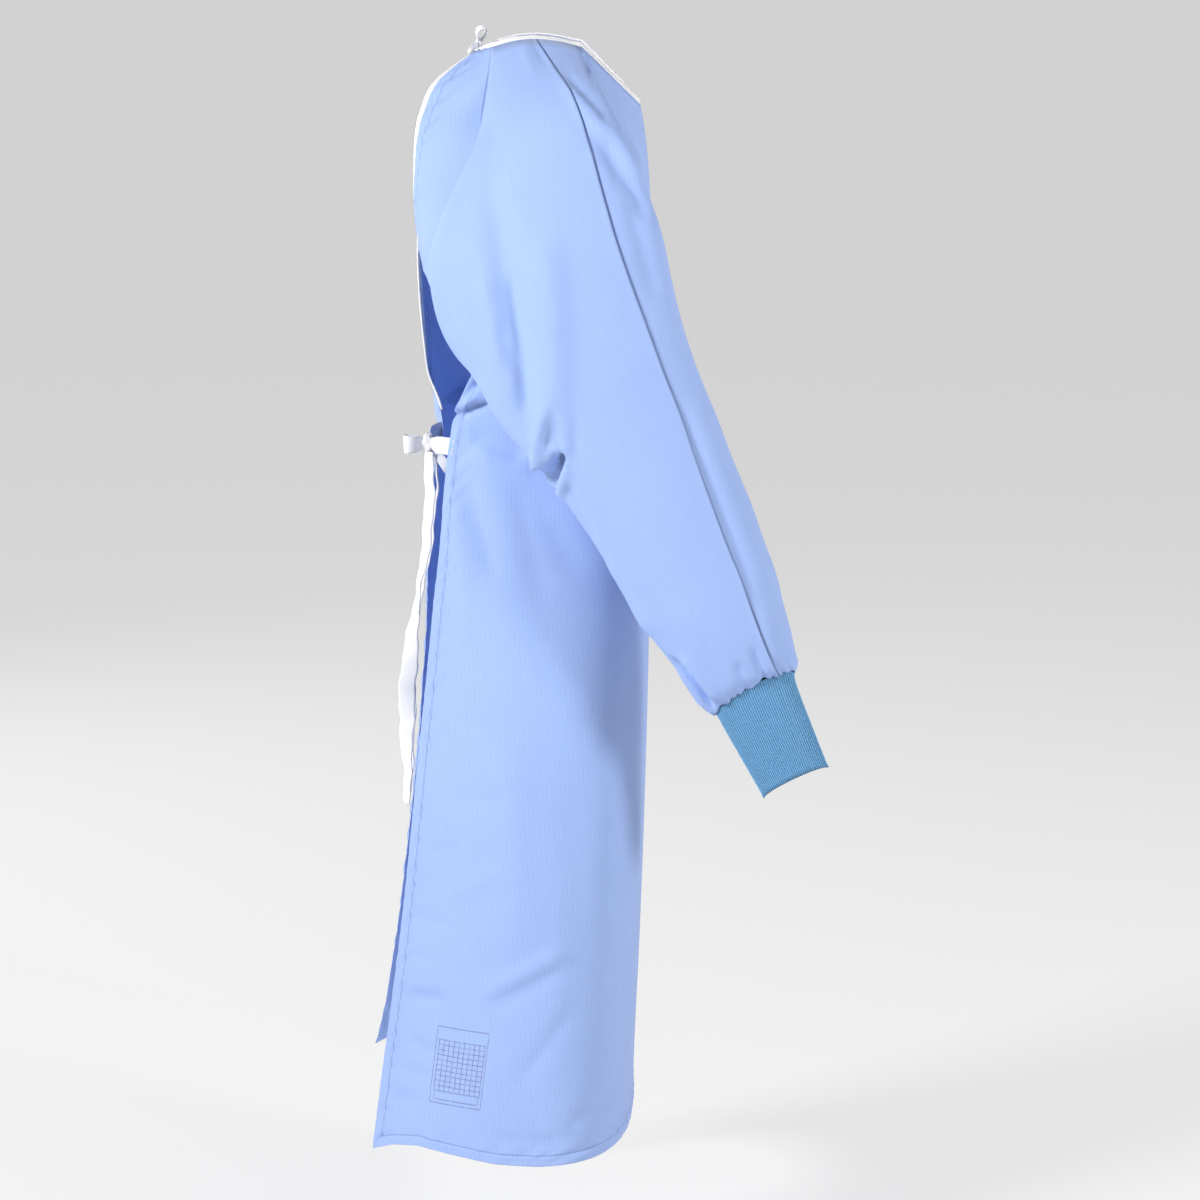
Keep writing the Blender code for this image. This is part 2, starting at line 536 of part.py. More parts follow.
def strip_beyond(edge, before):
    """Rows that carry a cloth edge on by the binding's width, in line with the cloth before it."""
    direction = edge - before
    direction /= np.linalg.norm(direction, axis=1)[:, None]
    direction[1:-1] = (direction[:-2] + direction[1:-1] + direction[2:]) / 3
    direction /= np.linalg.norm(direction, axis=1)[:, None]
    share = np.linspace(0.0, 1.0, STRIP_FACETS + 1)[:, None, None]
    return edge[None] + direction[None] * BINDING_WIDTH * share


def back_binding(skirt, tab, side):
    """Strip beyond one free back edge from the neck down to the waist tie; side is 0 right, -1 left."""
    beside = 1 if side == 0 else -2
    below = skirt[-2::-1]
    below = below[below[:, side, 2] > BINDING_ENDS[side]]
    edge = np.vstack((tab[::-1, 0], below[:, side]))
    before = np.vstack((tab[::-1, 1], below[:, beside]))
    return strip_beyond(edge, before)


def neck_strip(chest, right_back, left_back, sleeve, right_strip, left_strip):
    """Strip above the neckline from beyond the right back edge round the front to beyond the left one."""
    rows = []
    for row in (0, 1):
        right_corner = right_strip[:0:-1, 0] + row * (right_back[-2, 0] - right_back[-1, 0])
        left_corner = left_strip[1:, 0] + row * (left_back[-2, 0] - left_back[-1, 0])
        right_top = sleeve[row, len(sleeve[0]) - NECK_COLUMNS:]
        front_top = sleeve[row, 1:NECK_COLUMNS]
        rows.append(np.vstack((right_corner, right_back[-1 - row], right_top, front_top, chest[-1 - row],
                               mirrored(front_top[::-1]), mirrored(right_top[::-1]),
                               left_back[-1 - row, ::-1], left_corner)))
    return strip_beyond(rows[0], rows[1])


def tape(stations):
    """Flat band along its stations, two facets wide, as a grid of points."""
    column = table(stations, TAPE_COLUMN_NAMES)
    middle = np.column_stack([column[name] for name in ("x", "y", "z")])
    across = np.column_stack([column["width_" + name] for name in ("x", "y", "z")])
    across /= np.linalg.norm(across, axis=1)[:, None]
    half = (column["width"] / 2)[:, None]
    return np.stack((middle - across * half, middle, middle + across * half), axis=1)


def bow_loop(knot, row):
    """Grid of one bow loop: out along its direction and back, opened to both sides between its two ends."""
    values = dict(zip(LOOP_COLUMN_NAMES, row))
    centre, size = np.array(knot[0]), np.array(knot[1])
    along = np.array([values["along_x"], values["along_y"], values["along_z"]])
    along /= np.linalg.norm(along)
    up = np.array([0.0, 1.0, 0.0]) if along[2] < -LOOP_UPRIGHT else np.array([0.0, 0.0, 1.0])
    across = np.cross(up, along)
    across /= np.linalg.norm(across)
    width = np.cross(along, across)
    reach = 1 / np.linalg.norm(along / (size + SEAM_GAP))
    share = np.linspace(0.0, 1.0, LOOP_FACETS + 1)
    out = reach + values["length"] * np.sin(math.pi * share)
    aside = LOOP_FOOT * np.cos(math.pi * share) + values["opening"] / 2 * np.sin(2 * math.pi * share)
    middle = centre + out[:, None] * along + aside[:, None] * across
    half = width * values["width"] / 2
    return np.stack((middle - half, middle, middle + half), axis=1)


def add_tape(name, grid):
    """One tie tape, its wall set evenly on both sides of the grid."""
    points, faces = joined([patch(grid)])
    normal = shared_normals({name: (points, faces)})[name][0]
    add_piece(name, *wall(points, faces, normal, TAPE, TAPE / 2), TAPE_WHITE)


def add_knot(name, knot):
    """Rounded knot: a ball stretched to its size."""
    centre, size = knot
    ball = bpy.data.meshes.new(name)
    shape = bmesh.new()
    bmesh.ops.create_icosphere(shape, subdivisions=2, radius=1.0)
    bmesh.ops.scale(shape, vec=size, verts=shape.verts)
    bmesh.ops.translate(shape, vec=centre, verts=shape.verts)
    shape.to_mesh(ball)
    shape.free()
    ball.materials.append(fabric(name, TAPE_WHITE))
    ball.shade_smooth()
    bpy.context.scene.collection.objects.link(bpy.data.objects.new(name, ball))


def strap(start, knot, turn_out, clearance=0.0):
    """Grid of a tie tape from the three points of its seam to just short of its knot, bowed outwards."""
    centre, size = np.array(knot[0]), np.array(knot[1])
    away = (start[1] - centre) / np.linalg.norm(start[1] - centre)
    reach = 1 / np.linalg.norm(away / (size + SEAM_GAP)) + TAPE / 2
    half_width = size[2] * STRAP_NARROWING
    finish = centre + away * reach + half_width * np.array([[0.0, 0.0, -1.0], [0.0, 0.0, 0.0], [0.0, 0.0, 1.0]])
    start = start - away * clearance
    share = np.linspace(0.0, 1.0, STRAP_FACETS + 1)[:, None, None]
    return start + (finish - start) * share + np.sin(math.pi * share) * np.array(turn_out)


def edge_points(edge_line, beside_line, height, hand):
    """Three points just outside a back edge that a tie is sewn to; hand is 1 on the right, -1 on the left."""
    order = np.argsort(edge_line[:, 2])
    at = height + TIE_WIDTH * np.array([-0.5, 0.0, 0.5])
    edge, beside = (np.column_stack([np.interp(at, edge_line[order, 2], line[order, axis])
                                     for axis in range(3)]) for line in (edge_line, beside_line))
    outward = np.cross(np.array([0.0, 0.0, hand]), edge - beside)
    outward /= np.linalg.norm(outward, axis=1)[:, None]
    return edge + outward * (TAPE / 2 + SEAM_GAP)


def build():
    """Makes every piece."""
    for item in list(bpy.data.objects):
        bpy.data.objects.remove(item)
    skirt, chest, right_back, left_back = body_grids()
    sleeve = right_sleeve_grid(chest, right_back)
    cuff = cuff_grid(sleeve)
    half = sleeve.shape[1] // 2
    surfaces = {"body_panel": joined([patch(skirt), patch(chest), patch(right_back),
                                      patch(left_back[:, ::-1])])}
    for hand, (arm, wrist) in (("right", (sleeve, cuff)), ("left", left_limb(sleeve, cuff))):
        over = hand == "right"
        surfaces["sleeve_%s_front" % hand] = patch(arm[:, :half + 1], flip=over)
        surfaces["sleeve_%s_back" % hand] = patch(arm[:, half:], flip=over)
        surfaces["cuff_%s" % hand] = joined([patch(wrist, flip=over)])
    right_strip = back_binding(skirt, right_back, 0)
    left_strip = back_binding(skirt, left_back, -1)
    surfaces["back_binding_right"] = patch(right_strip.transpose(1, 0, 2), flip=False)
    surfaces["back_binding_left"] = patch(left_strip.transpose(1, 0, 2), flip=True)
    neck = neck_strip(chest, right_back, left_back, sleeve, right_strip, left_strip)
    surfaces["neck_binding"] = patch(neck)
    normals = shared_normals(surfaces)
    for name, (points, faces) in surfaces.items():
        normal, on_seam = normals[name]
        rank = points @ RIM_ORDER
        points = drawn_back(points, faces, on_seam)
        if name.startswith("cuff"):
            add_piece(name, *wall(points, faces, normal, KNIT, 0.0, rank), CUFF_BLUE)
        elif "binding" in name:
            proud = (BINDING - CLOTH) / 2
            add_piece(name, *wall(points, faces, normal, BINDING, proud, rank), TAPE_WHITE)
        else:
            add_piece(name, *wall(points, faces, normal, CLOTH, 0.0, rank), CLOTH_BLUE)
    add_ties(skirt, neck)


def add_ties(skirt, neck):
    """Waist tie and neck tie: straps from the back edges, knots, bow loops and hanging ends."""
    right_seam = edge_points(skirt[:, 0], skirt[:, 1], WAIST_TIE_HEIGHT, 1)
    left_seam = edge_points(skirt[:, -1], skirt[:, -2], WAIST_TIE_HEIGHT, -1)
    add_knot("waist_knot", WAIST_KNOT)
    add_tape("waist_strap_right", strap(right_seam, WAIST_KNOT, STRAP_BOW))
    add_tape("waist_strap_left", strap(left_seam, WAIST_KNOT, STRAP_BOW))
    for name, row in WAIST_LOOPS.items():
        add_tape(name, bow_loop(WAIST_KNOT, row))
    add_tape("waist_tail_outer", tape(WAIST_TAIL_OUTER))
    add_tape("waist_tail_inner", tape(WAIST_TAIL_INNER))
    add_knot("neck_knot", NECK_KNOT)
    add_tape("neck_strap_right", strap(neck[:, 0], NECK_KNOT, STRAP_BOW, TAPE / 2))
    add_tape("neck_strap_left", strap(neck[:, -1], NECK_KNOT, STRAP_BOW, TAPE / 2))
    for name, row in NECK_LOOPS.items():
        add_tape(name, bow_loop(NECK_KNOT, row))
    add_tape("neck_tail_right", tape(NECK_TAIL_RIGHT))
    add_tape("neck_tail_left", tape(NECK_TAIL_LEFT))


if __name__ == "__main__":
    build()
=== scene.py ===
"""Surgical apron gown: long-sleeved, open down the back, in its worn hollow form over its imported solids.

Metres. +Z is up, the front of the gown faces -Y and the wearer's right side is at -X. The cloth follows the
same tables as the solids on a finer grid, and its creases are soft troughs and ridges along short paths.
"""
import functools
import math

import bpy
import numpy as np
from bpy.props import FloatProperty, FloatVectorProperty, PointerProperty
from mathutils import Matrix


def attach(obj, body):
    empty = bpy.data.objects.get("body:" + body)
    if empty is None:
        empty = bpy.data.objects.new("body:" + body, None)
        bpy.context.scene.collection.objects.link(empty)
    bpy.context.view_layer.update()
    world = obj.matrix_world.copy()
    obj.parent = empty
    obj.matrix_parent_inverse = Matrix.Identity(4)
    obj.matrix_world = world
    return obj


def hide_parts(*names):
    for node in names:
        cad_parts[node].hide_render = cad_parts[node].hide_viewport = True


bl_info = {
    "name": "Apron Gown",
    "version": (1, 0, 0),
    "blender": (4, 5, 0),
    "location": "View3D > Sidebar > Gown",
    "description": "Builds the cloth, cuffs, tapes and studio of a worn surgical apron gown",
    "category": "Object",
}

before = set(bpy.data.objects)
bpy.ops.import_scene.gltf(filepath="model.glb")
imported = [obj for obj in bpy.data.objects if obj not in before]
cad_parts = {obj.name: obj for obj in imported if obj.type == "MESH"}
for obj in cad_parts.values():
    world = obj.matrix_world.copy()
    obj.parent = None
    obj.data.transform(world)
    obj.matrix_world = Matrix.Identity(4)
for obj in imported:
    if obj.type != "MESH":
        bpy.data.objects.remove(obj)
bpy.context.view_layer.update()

# Level sections of the body below the underarm. side is where it is widest, edge is the free back edge and
# corner is how far back the cloth swings before it turns in to that edge. The right back edge stops short of
# the middle at the waist, and the left one is drawn across to the tie. squareness is the power of the front
# curve, where 1 is an ellipse and less is squarer.
BODY_COLUMNS = ("height", "half_width", "side", "front", "squareness",
                "right_corner", "right_edge_x", "right_edge_y",
                "left_corner", "left_edge_x", "left_edge_y")
BODY = (
    (-0.355, 0.172, 0.000, -0.1283, 0.42, 0.040, -0.172, 0.072, 0.118, 0.095, 0.139),
    (-0.385, 0.171, 0.000, -0.1282, 0.44, 0.052, -0.160, 0.086, 0.140, 0.050, 0.134),
    (-0.410, 0.170, 0.000, -0.1281, 0.47, 0.058, -0.149, 0.096, 0.156, 0.018, 0.122),
    (-0.440, 0.170, 0.000, -0.1279, 0.50, 0.062, -0.142, 0.101, 0.158, 0.002, 0.114),
    (-0.490, 0.172, 0.000, -0.1276, 0.55, 0.066, -0.141, 0.107, 0.150, 0.006, 0.123),
    (-0.580, 0.177, 0.002, -0.1270, 0.61, 0.070, -0.143, 0.116, 0.150, 0.018, 0.132),
    (-0.700, 0.188, 0.004, -0.1257, 0.66, 0.077, -0.147, 0.128, 0.150, 0.040, 0.138),
    (-0.800, 0.197, 0.006, -0.1238, 0.68, 0.083, -0.151, 0.139, 0.155, 0.066, 0.148),
    (-0.900, 0.208, 0.008, -0.1212, 0.69, 0.088, -0.157, 0.149, 0.160, 0.094, 0.158),
    (-1.000, 0.219, 0.010, -0.1180, 0.70, 0.093, -0.164, 0.160, 0.165, 0.120, 0.169),
    (-1.100, 0.231, 0.011, -0.1143, 0.70, 0.097, -0.172, 0.173, 0.173, 0.144, 0.181),
    (-1.180, 0.242, 0.012, -0.1108, 0.70, 0.101, -0.179, 0.184, 0.181, 0.164, 0.195),
    (-1.255, 0.252, 0.012, -0.1075, 0.70, 0.105, -0.187, 0.194, 0.190, 0.186, 0.213),
)
HEM_TILT = (0.04, -0.06)    # rise of the hem for each metre towards the left side and towards the back
HEM_RISE = (            # further rise of the hem, by how far back it lies
    (-0.110, 0.003), (0.000, 0.005), (0.050, 0.010), (0.090, 0.018), (0.140, 0.027), (0.170, 0.024),
    (0.200, 0.012),
)

# Front raglan seam of the right side from the underarm to the neck, with the middle of the front level with
# it. turn is the part of a quarter round, in degrees, that the cloth makes between the two.
FRONT_COLUMN_NAMES = ("x", "y", "z", "middle_y", "middle_z", "turn", "squareness")
FRONT_RAGLAN = (
    (-0.172, 0.000, -0.355, -0.1283, -0.355, 90, 0.42),
    (-0.177, -0.060, -0.346, -0.1284, -0.347, 88, 0.46),
    (-0.184, -0.108, -0.312, -0.1285, -0.322, 82, 0.54),
    (-0.190, -0.132, -0.262, -0.1285, -0.286, 74, 0.64),
    (-0.190, -0.121, -0.221, -0.1284, -0.254, 68, 0.76),
    (-0.180, -0.094, -0.156, -0.1280, -0.200, 62, 0.86),
    (-0.160, -0.076, -0.101, -0.1262, -0.155, 58, 0.90),
    (-0.130, -0.066, -0.058, -0.1232, -0.117, 55, 0.95),
    (-0.100, -0.056, -0.026, -0.1196, -0.089, 52, 1.00),
    (-0.078, -0.049, 0.000, -0.1155, -0.067, 50, 1.00),
)

# Back raglan seam of the right side from the underarm to the neck, with the corner that the cloth swings
# round and the free back edge level with it, on the right and on the left half of the gown.
BACK_COLUMN_NAMES = ("x", "y", "z", "right_corner_x", "right_corner_y", "right_edge_x", "right_edge_y",
                     "right_edge_z", "left_corner_x", "left_corner_y", "left_edge_x", "left_edge_y",
                     "left_edge_z")
BACK_RAGLAN = (
    (-0.172, 0.000, -0.355, -0.172, 0.040, -0.172, 0.072, -0.355, 0.172, 0.118, 0.095, 0.139, -0.355),
    (-0.178, 0.045, -0.338, -0.176, 0.066, -0.171, 0.077, -0.332, 0.175, 0.116, 0.112, 0.142, -0.325),
    (-0.188, 0.082, -0.302, -0.180, 0.094, -0.163, 0.096, -0.298, 0.179, 0.122, 0.127, 0.145, -0.290),
    (-0.197, 0.104, -0.252, -0.178, 0.122, -0.147, 0.126, -0.250, 0.177, 0.131, 0.134, 0.147, -0.245),
    (-0.200, 0.108, -0.203, -0.178, 0.135, -0.136, 0.136, -0.200, 0.176, 0.139, 0.134, 0.147, -0.200),
    (-0.200, 0.094, -0.172, -0.178, 0.132, -0.130, 0.139, -0.169, 0.175, 0.136, 0.130, 0.145, -0.169),
    (-0.190, 0.075, -0.139, -0.168, 0.125, -0.124, 0.138, -0.135, 0.168, 0.128, 0.124, 0.141, -0.135),
    (-0.170, 0.064, -0.102, -0.152, 0.115, -0.117, 0.135, -0.098, 0.152, 0.116, 0.117, 0.136, -0.098),
    (-0.140, 0.061, -0.066, -0.128, 0.100, -0.106, 0.126, -0.066, 0.128, 0.100, 0.106, 0.126, -0.066),
    (-0.120, 0.057, -0.038, -0.108, 0.088, -0.090, 0.115, -0.042, 0.108, 0.088, 0.090, 0.115, -0.042),
    (-0.080, 0.053, 0.000, -0.066, 0.066, -0.048, 0.074, -0.006, 0.066, 0.066, 0.048, 0.074, -0.006),
)

# Neckline of the right sleeve from its overarm seam forwards and backwards to the raglan seams.
NECK_FRONT = ((-0.0855, 0.003, 0.0095), (-0.0840, -0.023, 0.0065), (-0.078, -0.049, 0.000))
NECK_BACK = ((-0.0855, 0.003, 0.0095), (-0.0848, 0.028, 0.0070), (-0.080, 0.053, 0.000))

# Rings of the right sleeve from the shoulder to the cuff seam. Each is an oval through its front, rear, outer
# and inner points; skew is how much nearer the body its front lies than its middle, and its rear how much
# further out; seam is where the overarm seam crosses it, from 0 at the rear to 1 at the front.
SLEEVE_COLUMN_NAMES = ("front_y", "front_z", "rear_y", "rear_z", "outer_x", "outer_z", "inner_x", "inner_z",
                       "skew", "seam")
SLEEVE = (
    (-0.104, -0.118, 0.112, -0.212, -0.226, -0.092, -0.190, -0.360, 0.006, 0.750),
    (-0.127, -0.168, 0.118, -0.2405, -0.262, -0.168, -0.190, -0.370, 0.006, 0.775),
    (-0.139, -0.208, 0.099, -0.2795, -0.276, -0.220, -0.190, -0.380, 0.004, 0.780),
    (-0.149, -0.255, 0.082, -0.319, -0.283, -0.268, -0.190, -0.390, 0.002, 0.803),
    (-0.160, -0.299, 0.069, -0.348, -0.286, -0.310, -0.190, -0.402, 0.000, 0.826),
    (-0.180, -0.357, 0.048, -0.394, -0.288, -0.366, -0.191, -0.424, 0.000, 0.833),
    (-0.196, -0.395, 0.025, -0.426, -0.288, -0.404, -0.192, -0.443, 0.000, 0.828),
    (-0.217, -0.450, -0.012, -0.468, -0.287, -0.455, -0.193, -0.476, 0.000, 0.803),
    (-0.237, -0.498, -0.039, -0.507, -0.285, -0.500, -0.194, -0.511, 0.000, 0.783),
    (-0.251, -0.538, -0.065, -0.546, -0.283, -0.539, -0.195, -0.548, 0.000, 0.772),
    (-0.265, -0.576, -0.094, -0.592, -0.281, -0.581, -0.197, -0.588, 0.000, 0.766),
    (-0.274, -0.612, -0.119, -0.637, -0.279, -0.621, -0.199, -0.628, 0.000, 0.766),
    (-0.283, -0.645, -0.148, -0.676, -0.276, -0.656, -0.203, -0.664, 0.000, 0.758),
    (-0.287, -0.668, -0.172, -0.709, -0.270, -0.682, -0.209, -0.692, 0.000, 0.765),
    (-0.285, -0.688, -0.199, -0.734, -0.257, -0.697, -0.222, -0.716, 0.000, 0.790),
)
UNDERARM_TURN = -100    # degrees round a ring, from its front over the outer side, to the underarm seam
NECK_SPREAD = 0.5       # share of the ring's columns set by their spacing along the armhole

# Rings of the right cuff, from the sleeve's last ring to its own end.
CUFF = (
    SLEEVE[-1],
    (-0.292, -0.712, -0.211, -0.756, -0.256, -0.722, -0.224, -0.738, 0.000, 0.700),
    (-0.325, -0.796, -0.2535, -0.831, -0.255, -0.809, -0.227, -0.817, 0.000, 0.600),
)

# Middle line of each loose tape. Each row is a place, the way that the width faces there, and the width.
WAIST_TAIL_OUTER = (
    (-0.053, 0.1295, -0.4637, 0.70, 0.70, 0.0, 0.016),
    (-0.057, 0.1300, -0.5360, 0.75, 0.65, 0.0, 0.018),
    (-0.059, 0.1360, -0.5880, 0.85, 0.53, 0.0, 0.018),
    (-0.062, 0.1430, -0.6260, 0.97, 0.30, 0.0, 0.018),
    (-0.064, 0.1500, -0.6800, 0.60, 0.80, 0.0, 0.019),
    (-0.065, 0.1550, -0.7300, 0.10, 1.00, 0.0, 0.020),
    (-0.066, 0.1575, -0.7900, 0.50, 0.85, 0.0, 0.020),
    (-0.067, 0.1575, -0.8400, 0.85, 0.50, 0.0, 0.020),
    (-0.067, 0.1585, -0.8780, 0.90, 0.42, 0.0, 0.020),
)
WAIST_TAIL_INNER = (
    (-0.0362, 0.1240, -0.4617, 1.00, 0.15, 0.0, 0.008),
    (-0.031, 0.1215, -0.4850, 1.00, 0.15, 0.0, 0.016),
    (-0.031, 0.1240, -0.5360, 1.00, 0.15, 0.0, 0.018),
    (-0.032, 0.1325, -0.5950, 1.00, 0.20, 0.0, 0.018),
    (-0.035, 0.1430, -0.6420, 1.00, 0.20, 0.0, 0.018),
    (-0.034, 0.1520, -0.7000, 0.85, 0.50, 0.0, 0.018),
    (-0.034, 0.1560, -0.7600, 0.60, 0.80, 0.0, 0.020),
    (-0.035, 0.1575, -0.8300, 0.80, 0.60, 0.0, 0.020),
    (-0.036, 0.1585, -0.8700, 0.90, 0.42, 0.0, 0.020),
)
NECK_TAIL_RIGHT = (
    (-0.0050, 0.0705, -0.0044, 1.0, 0.0, 0.0, 0.008),
    (-0.010, 0.0830, -0.0300, 1.0, 0.1, 0.0, 0.009),
    (-0.014, 0.0860, -0.0700, 1.0, 0.2, 0.0, 0.009),
)
NECK_TAIL_LEFT = (
    (0.0050, 0.0705, -0.0044, 1.0, 0.0, 0.0, 0.008),
    (0.012, 0.0825, -0.0320, 1.0, -0.1, 0.0, 0.009),
    (0.016, 0.0850, -0.0820, 1.0, -0.2, 0.0, 0.009),
)

# Knots, with half their size each way, and the bow loops that leave them.
WAIST_KNOT = ((-0.046, 0.1290, -0.4540), (0.0120, 0.0085, 0.0110))
NECK_KNOT = ((0.000, 0.0700, 0.0020), (0.0060, 0.0045, 0.0060))
LOOP_COLUMN_NAMES = ("along_x", "along_y", "along_z", "length", "opening", "width")
WAIST_LOOPS = {"waist_loop_outer": (-0.25, 0.95, -0.05, 0.020, 0.012, 0.022),
               "waist_loop_inner": (-0.22, -0.75, -1.00, 0.030, 0.008, 0.013)}
NECK_LOOPS = {"neck_loop_right": (-0.55, -0.20, 0.75, 0.016, 0.008, 0.006),
              "neck_loop_left": (0.55, -0.10, 0.75, 0.016, 0.008, 0.006)}
WAIST_TIE_HEIGHT = -0.446
NECK_STRAP_END = (0.0405, 0.0775, -0.0066)          # where the left neck strap leaves its binding
NECK_STRAP_LEAN = (-0.00231, -0.001925, 0.001575)   # from the middle of that end to its upper corner
BINDING_ENDS = (-0.338, -0.425)     # height at which the binding of the right and the left back edge ends

BINDING = 0.0022        # wall of the folded white edge tape
TAPE = 0.0014           # wall of the tie tapes
SEAM_GAP = 0.0003       # gap between two sewn pieces
BINDING_WIDTH = 0.008
TIE_WIDTH = 0.020
STRAP_BOW = (0.0, 0.006, 0.0)       # how far the middle of a strap hangs out
RIPPLE_DIRECTION = (-0.4, 0.9, 0.0)
SAME_POINT = 1e-6       # points nearer than this are one
KNIT_WALL = 0.0012
CUFF_DIP = 0.005        # how much shorter the cuff is along its two flat sides
CURVE_SAMPLES = 240     # points worked out on each curve before it is cut into facets
LOOP_UPRIGHT = 0.75     # a loop that hangs steeper than this is open across the body

# The left sleeve hangs straighter than the right one, hidden behind it from the right side.
LEFT_SWING = 0.030          # metres back for each metre along the sleeve
LEFT_SWING_START = 0.25     # length of sleeve over which the swing sets in

# Grid of the cloth: facets of the half front, of a back beside its edge and beyond, and of the seams.
FRONT_FACETS = 70
EDGE_FACETS = 10
EDGE_STEP = 0.0014
BACK_FACETS = 22
TAB_ROWS = 60
NECK_COLUMNS = 18
HEM_ROWS = 12
HEM_STEP = 0.0013
SKIRT_ROWS = 146
SLEEVE_ROWS = (10, 8) + (8,) * 13
CUFF_ROWS = 34
RIB_FACETS = 4
BESIDE = 3              # points in from an edge to the line that shows which way its cloth runs
TAPE_FACETS = 8
BINDING_FACETS = 6
LOOP_POINTS = 41
STRAP_POINTS = 33
TAIL_STEP = 0.0035
TAIL_POINTS_LEAST = 12
CREASE_POINTS = 9

# Creases are soft troughs, or ridges where the depth is positive. Each runs along a curve from start to end
# drawn towards its middle point, in the two coordinates seen from its side, and fades at both ends.
CREASE_COLUMN_NAMES = ("start_a", "start_z", "middle_a", "middle_z", "end_a", "end_z", "width", "depth")
SLEEVE_CREASES = (      # a is Y, seen from the wearer's right
    (0.043, -0.068, 0.060, -0.125, 0.046, -0.180, 0.014, -0.0050),
    (0.047, -0.160, 0.034, -0.220, 0.030, -0.275, 0.014, -0.0070),
    (0.033, -0.245, 0.016, -0.330, 0.011, -0.405, 0.012, -0.0105),
    (0.062, -0.230, 0.048, -0.290, 0.034, -0.350, 0.012, 0.0050),
    (-0.004, -0.190, -0.026, -0.300, -0.012, -0.420, 0.020, 0.0080),
    (0.040, -0.295, 0.037, -0.316, 0.027, -0.345, 0.005, -0.0045),
    (0.106, -0.0765, 0.088, -0.062, 0.066, -0.053, 0.008, -0.0032),
    (-0.0300, -0.434, -0.0200, -0.456, -0.002, -0.490, 0.0058, -0.0190),
    (-0.0280, -0.424, -0.0150, -0.438, 0.002, -0.456, 0.0050, 0.0060),
    (-0.0280, -0.385, -0.0410, -0.440, -0.018, -0.505, 0.0045, 0.0060),
    (-0.0115, -0.375, -0.0030, -0.415, 0.008, -0.490, 0.0052, 0.0090),
    (-0.030, -0.470, -0.048, -0.500, -0.064, -0.540, 0.0050, -0.0030),
    (-0.148, -0.668, -0.175, -0.705, -0.199, -0.726, 0.0034, -0.0110),
    (-0.146, -0.682, -0.166, -0.710, -0.190, -0.732, 0.0050, 0.0040),
    (-0.158, -0.662, -0.186, -0.696, -0.206, -0.716, 0.0050, 0.0060),
    (-0.238, -0.652, -0.246, -0.676, -0.256, -0.704, 0.0045, -0.0036),
    (-0.246, -0.600, -0.258, -0.640, -0.268, -0.675, 0.009, 0.0024),
    (-0.220, -0.668, -0.228, -0.690, -0.237, -0.716, 0.0045, -0.0034),
    (-0.178, -0.628, -0.196, -0.668, -0.206, -0.704, 0.010, -0.0010),
    (-0.155, -0.600, -0.172, -0.640, -0.186, -0.680, 0.012, 0.0012),
    (-0.152, -0.370, -0.195, -0.480, -0.246, -0.612, 0.0055, -0.0026),
    (-0.168, -0.370, -0.212, -0.480, -0.260, -0.600, 0.011, 0.0024),
    (-0.066, -0.560, -0.100, -0.610, -0.128, -0.650, 0.014, 0.0040),
)
YOKE_CREASES = (        # a is Y, seen from the wearer's right, across the raglan seam
    (-0.029, -0.026, -0.052, -0.050, -0.080, -0.079, 0.0055, -0.0050),
    (-0.016, -0.030, -0.060, -0.058, -0.119, -0.148, 0.008, 0.0050),
    (-0.070, -0.086, -0.098, -0.134, -0.126, -0.186, 0.008, -0.0065),
    (-0.040, -0.085, -0.076, -0.092, -0.094, -0.155, 0.007, -0.0030),
    (-0.098, -0.150, -0.116, -0.210, -0.132, -0.270, 0.010, -0.0035),
    (-0.0490, 0.000, -0.0545, -0.014, -0.0600, -0.032, 0.0030, -0.0035),
    (0.0030, 0.0095, 0.0020, -0.003, -0.0060, -0.014, 0.0030, -0.0030),
    (0.0130, 0.0060, 0.0140, -0.006, 0.0100, -0.022, 0.0050, 0.0025),
)
